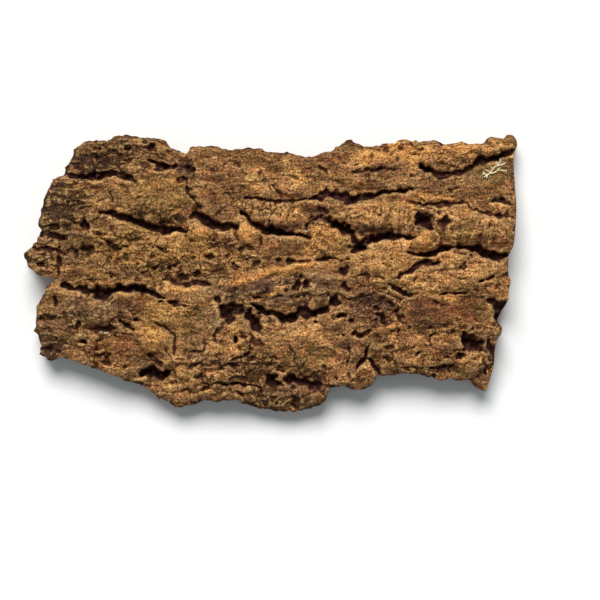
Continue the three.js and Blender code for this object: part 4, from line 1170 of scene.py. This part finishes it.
def dry_lichen():
    """Dry fruticose lichen: chalky cream branches with a fine mottle."""
    material, tree = new_material("dry_cream_lichen")
    place = add(tree, "ShaderNodeTexCoord", output="Object")
    mottle = add(tree, "ShaderNodeTexNoise", Vector=place, Scale=per_mm(1.6), Detail=4, Roughness=0.6)
    colour = add(tree, "ShaderNodeValToRGB", Fac=mottle,
                 ramp=[(0.3, "#B8A47C"), (0.5, "#DFCFA8"), (0.7, "#F4EAD0")])
    fuzz = add(tree, "ShaderNodeBump", Height=mottle, Strength=0.5, Distance=0.15 * MM)
    shader = add(tree, "ShaderNodeBsdfPrincipled", Base_Color=colour, Roughness=0.88, Normal=fuzz,
                 Specular_IOR_Level=0.2, IOR=1.45)
    add(tree, "ShaderNodeOutputMaterial", Surface=shader)
    return material


def bark_height(bark, x, y):
    """Height of the bark at a plan point."""
    _, point, _, _ = bark.ray_cast(Vector((x * MM, y * MM, RAY_START)), Vector((0, 0, -1)))
    return point.z / MM


def lichen_twig(places):
    """One twig that tapers along its points, as a curve."""
    curve = bpy.data.curves.new("lichen_twig", "CURVE")
    curve.dimensions = "3D"
    curve.bevel_depth = MM
    curve.bevel_resolution = 3
    curve.use_fill_caps = True
    curve.resolution_u = 6
    spline = curve.splines.new("NURBS")
    spline.points.add(len(places) - 1)
    spline.use_endpoint_u = True
    spline.order_u = min(3, len(places))
    for k, (x, y, z) in enumerate(places):
        spline.points[k].co = (x * MM, y * MM, z * MM, 1)
        spline.points[k].radius = mix(LICHEN_STEM, LICHEN_TIP, k / (len(places) - 1))
    twig = bpy.data.objects.new("lichen_twig", curve)
    bpy.context.collection.objects.link(twig)
    return twig


def model_lichen(bark):
    """The lichen sprig: tapering branches over the bark, fused into one body."""
    bpy.context.view_layer.update()
    ledge = bark_height(bark, *LICHEN_ROOT)
    root = (*LICHEN_ROOT, LICHEN_GAP - LICHEN_STEM)
    deselect()
    twigs = []
    for branch in [[root, LICHEN_BRANCHES[0][0]], *LICHEN_BRANCHES]:
        seats = [max(ledge, bark_height(bark, x, y)) + LICHEN_GAP + LICHEN_STEM for x, y, _ in branch]
        twigs.append(lichen_twig([(x, y, seat + lift) for (x, y, lift), seat in zip(branch, seats)]))
    for twig in twigs:
        twig.select_set(True)
    bpy.context.view_layer.objects.active = twigs[0]
    bpy.ops.object.convert(target="MESH")
    bpy.ops.object.join()
    sprig = bpy.context.object
    sprig.name = "lichen_sprig_fine"
    fuse = sprig.modifiers.new("fuse", "REMESH")
    fuse.mode = "VOXEL"
    fuse.voxel_size = LICHEN_VOXEL * MM
    bpy.ops.object.modifier_apply(modifier=fuse.name)
    soften = sprig.modifiers.new("soften", "SMOOTH")
    soften.factor = 0.5
    soften.iterations = 2
    bpy.ops.object.modifier_apply(modifier=soften.name)
    bpy.ops.object.shade_smooth()
    return sprig


# Stage: pale floor in metres, light from behind in degrees, and a camera straight above in millimetres
FLOOR_SIZE = 6.0
FLOOR_WHITE = "#F4F4F4"
SKY_STRENGTH = 0.3
KEY_STRENGTH = 3.4
KEY_ELEVATION = 56
KEY_SIDE = 9
KEY_SOFTNESS = 32
SKY_COLOUR = (0.84, 0.95, 1.0, 1)
KEY_COLOUR = (1.0, 0.985, 0.96)
LENS = 180.0
SENSOR = 36.0
VIEW_CENTRE = (17.07, -16.46)
VIEW_WIDTH = 365.85
VIEW_PLANE = 25.0


def lay_floor():
    deselect()
    bpy.ops.mesh.primitive_plane_add(size=FLOOR_SIZE)
    floor = bpy.context.object
    floor.name = "floor"
    material, tree = new_material("pale_floor")
    shader = add(tree, "ShaderNodeBsdfPrincipled", Base_Color=linear(FLOOR_WHITE), Roughness=0.9)
    add(tree, "ShaderNodeOutputMaterial", Surface=shader)
    floor.data.materials.append(material)


def set_light(scene):
    world = bpy.data.worlds.new("soft_sky")
    world.use_nodes = True
    world.node_tree.nodes["Background"].inputs["Color"].default_value = SKY_COLOUR
    world.node_tree.nodes["Background"].inputs["Strength"].default_value = SKY_STRENGTH
    scene.world = world
    key = bpy.data.lights.new("key_light", "SUN")
    key.color = KEY_COLOUR
    key.energy = KEY_STRENGTH
    key.angle = math.radians(KEY_SOFTNESS)
    lamp = bpy.data.objects.new("key_light", key)
    lamp.rotation_euler = (math.radians(KEY_ELEVATION - 90), 0, math.radians(KEY_SIDE))
    scene.collection.objects.link(lamp)
    scene.view_settings.view_transform = "Standard"


def place_camera(scene):
    camera = bpy.data.cameras.new("photo_camera")
    camera.lens = LENS
    camera.sensor_width = SENSOR
    eye = bpy.data.objects.new("photo_camera", camera)
    height = VIEW_PLANE + VIEW_WIDTH * LENS / SENSOR
    eye.location = (VIEW_CENTRE[0] * MM, VIEW_CENTRE[1] * MM, height * MM)
    scene.collection.objects.link(eye)
    scene.camera = eye


bark = model_bark()
bark.data.materials.append(weathered_cork())
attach(bark, "root")
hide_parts("cork_bark")

lichen = model_lichen(bark)
lichen.data.materials.append(dry_lichen())
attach(lichen, "root")
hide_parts("lichen_sprig")

lay_floor()
set_light(bpy.context.scene)
place_camera(bpy.context.scene)
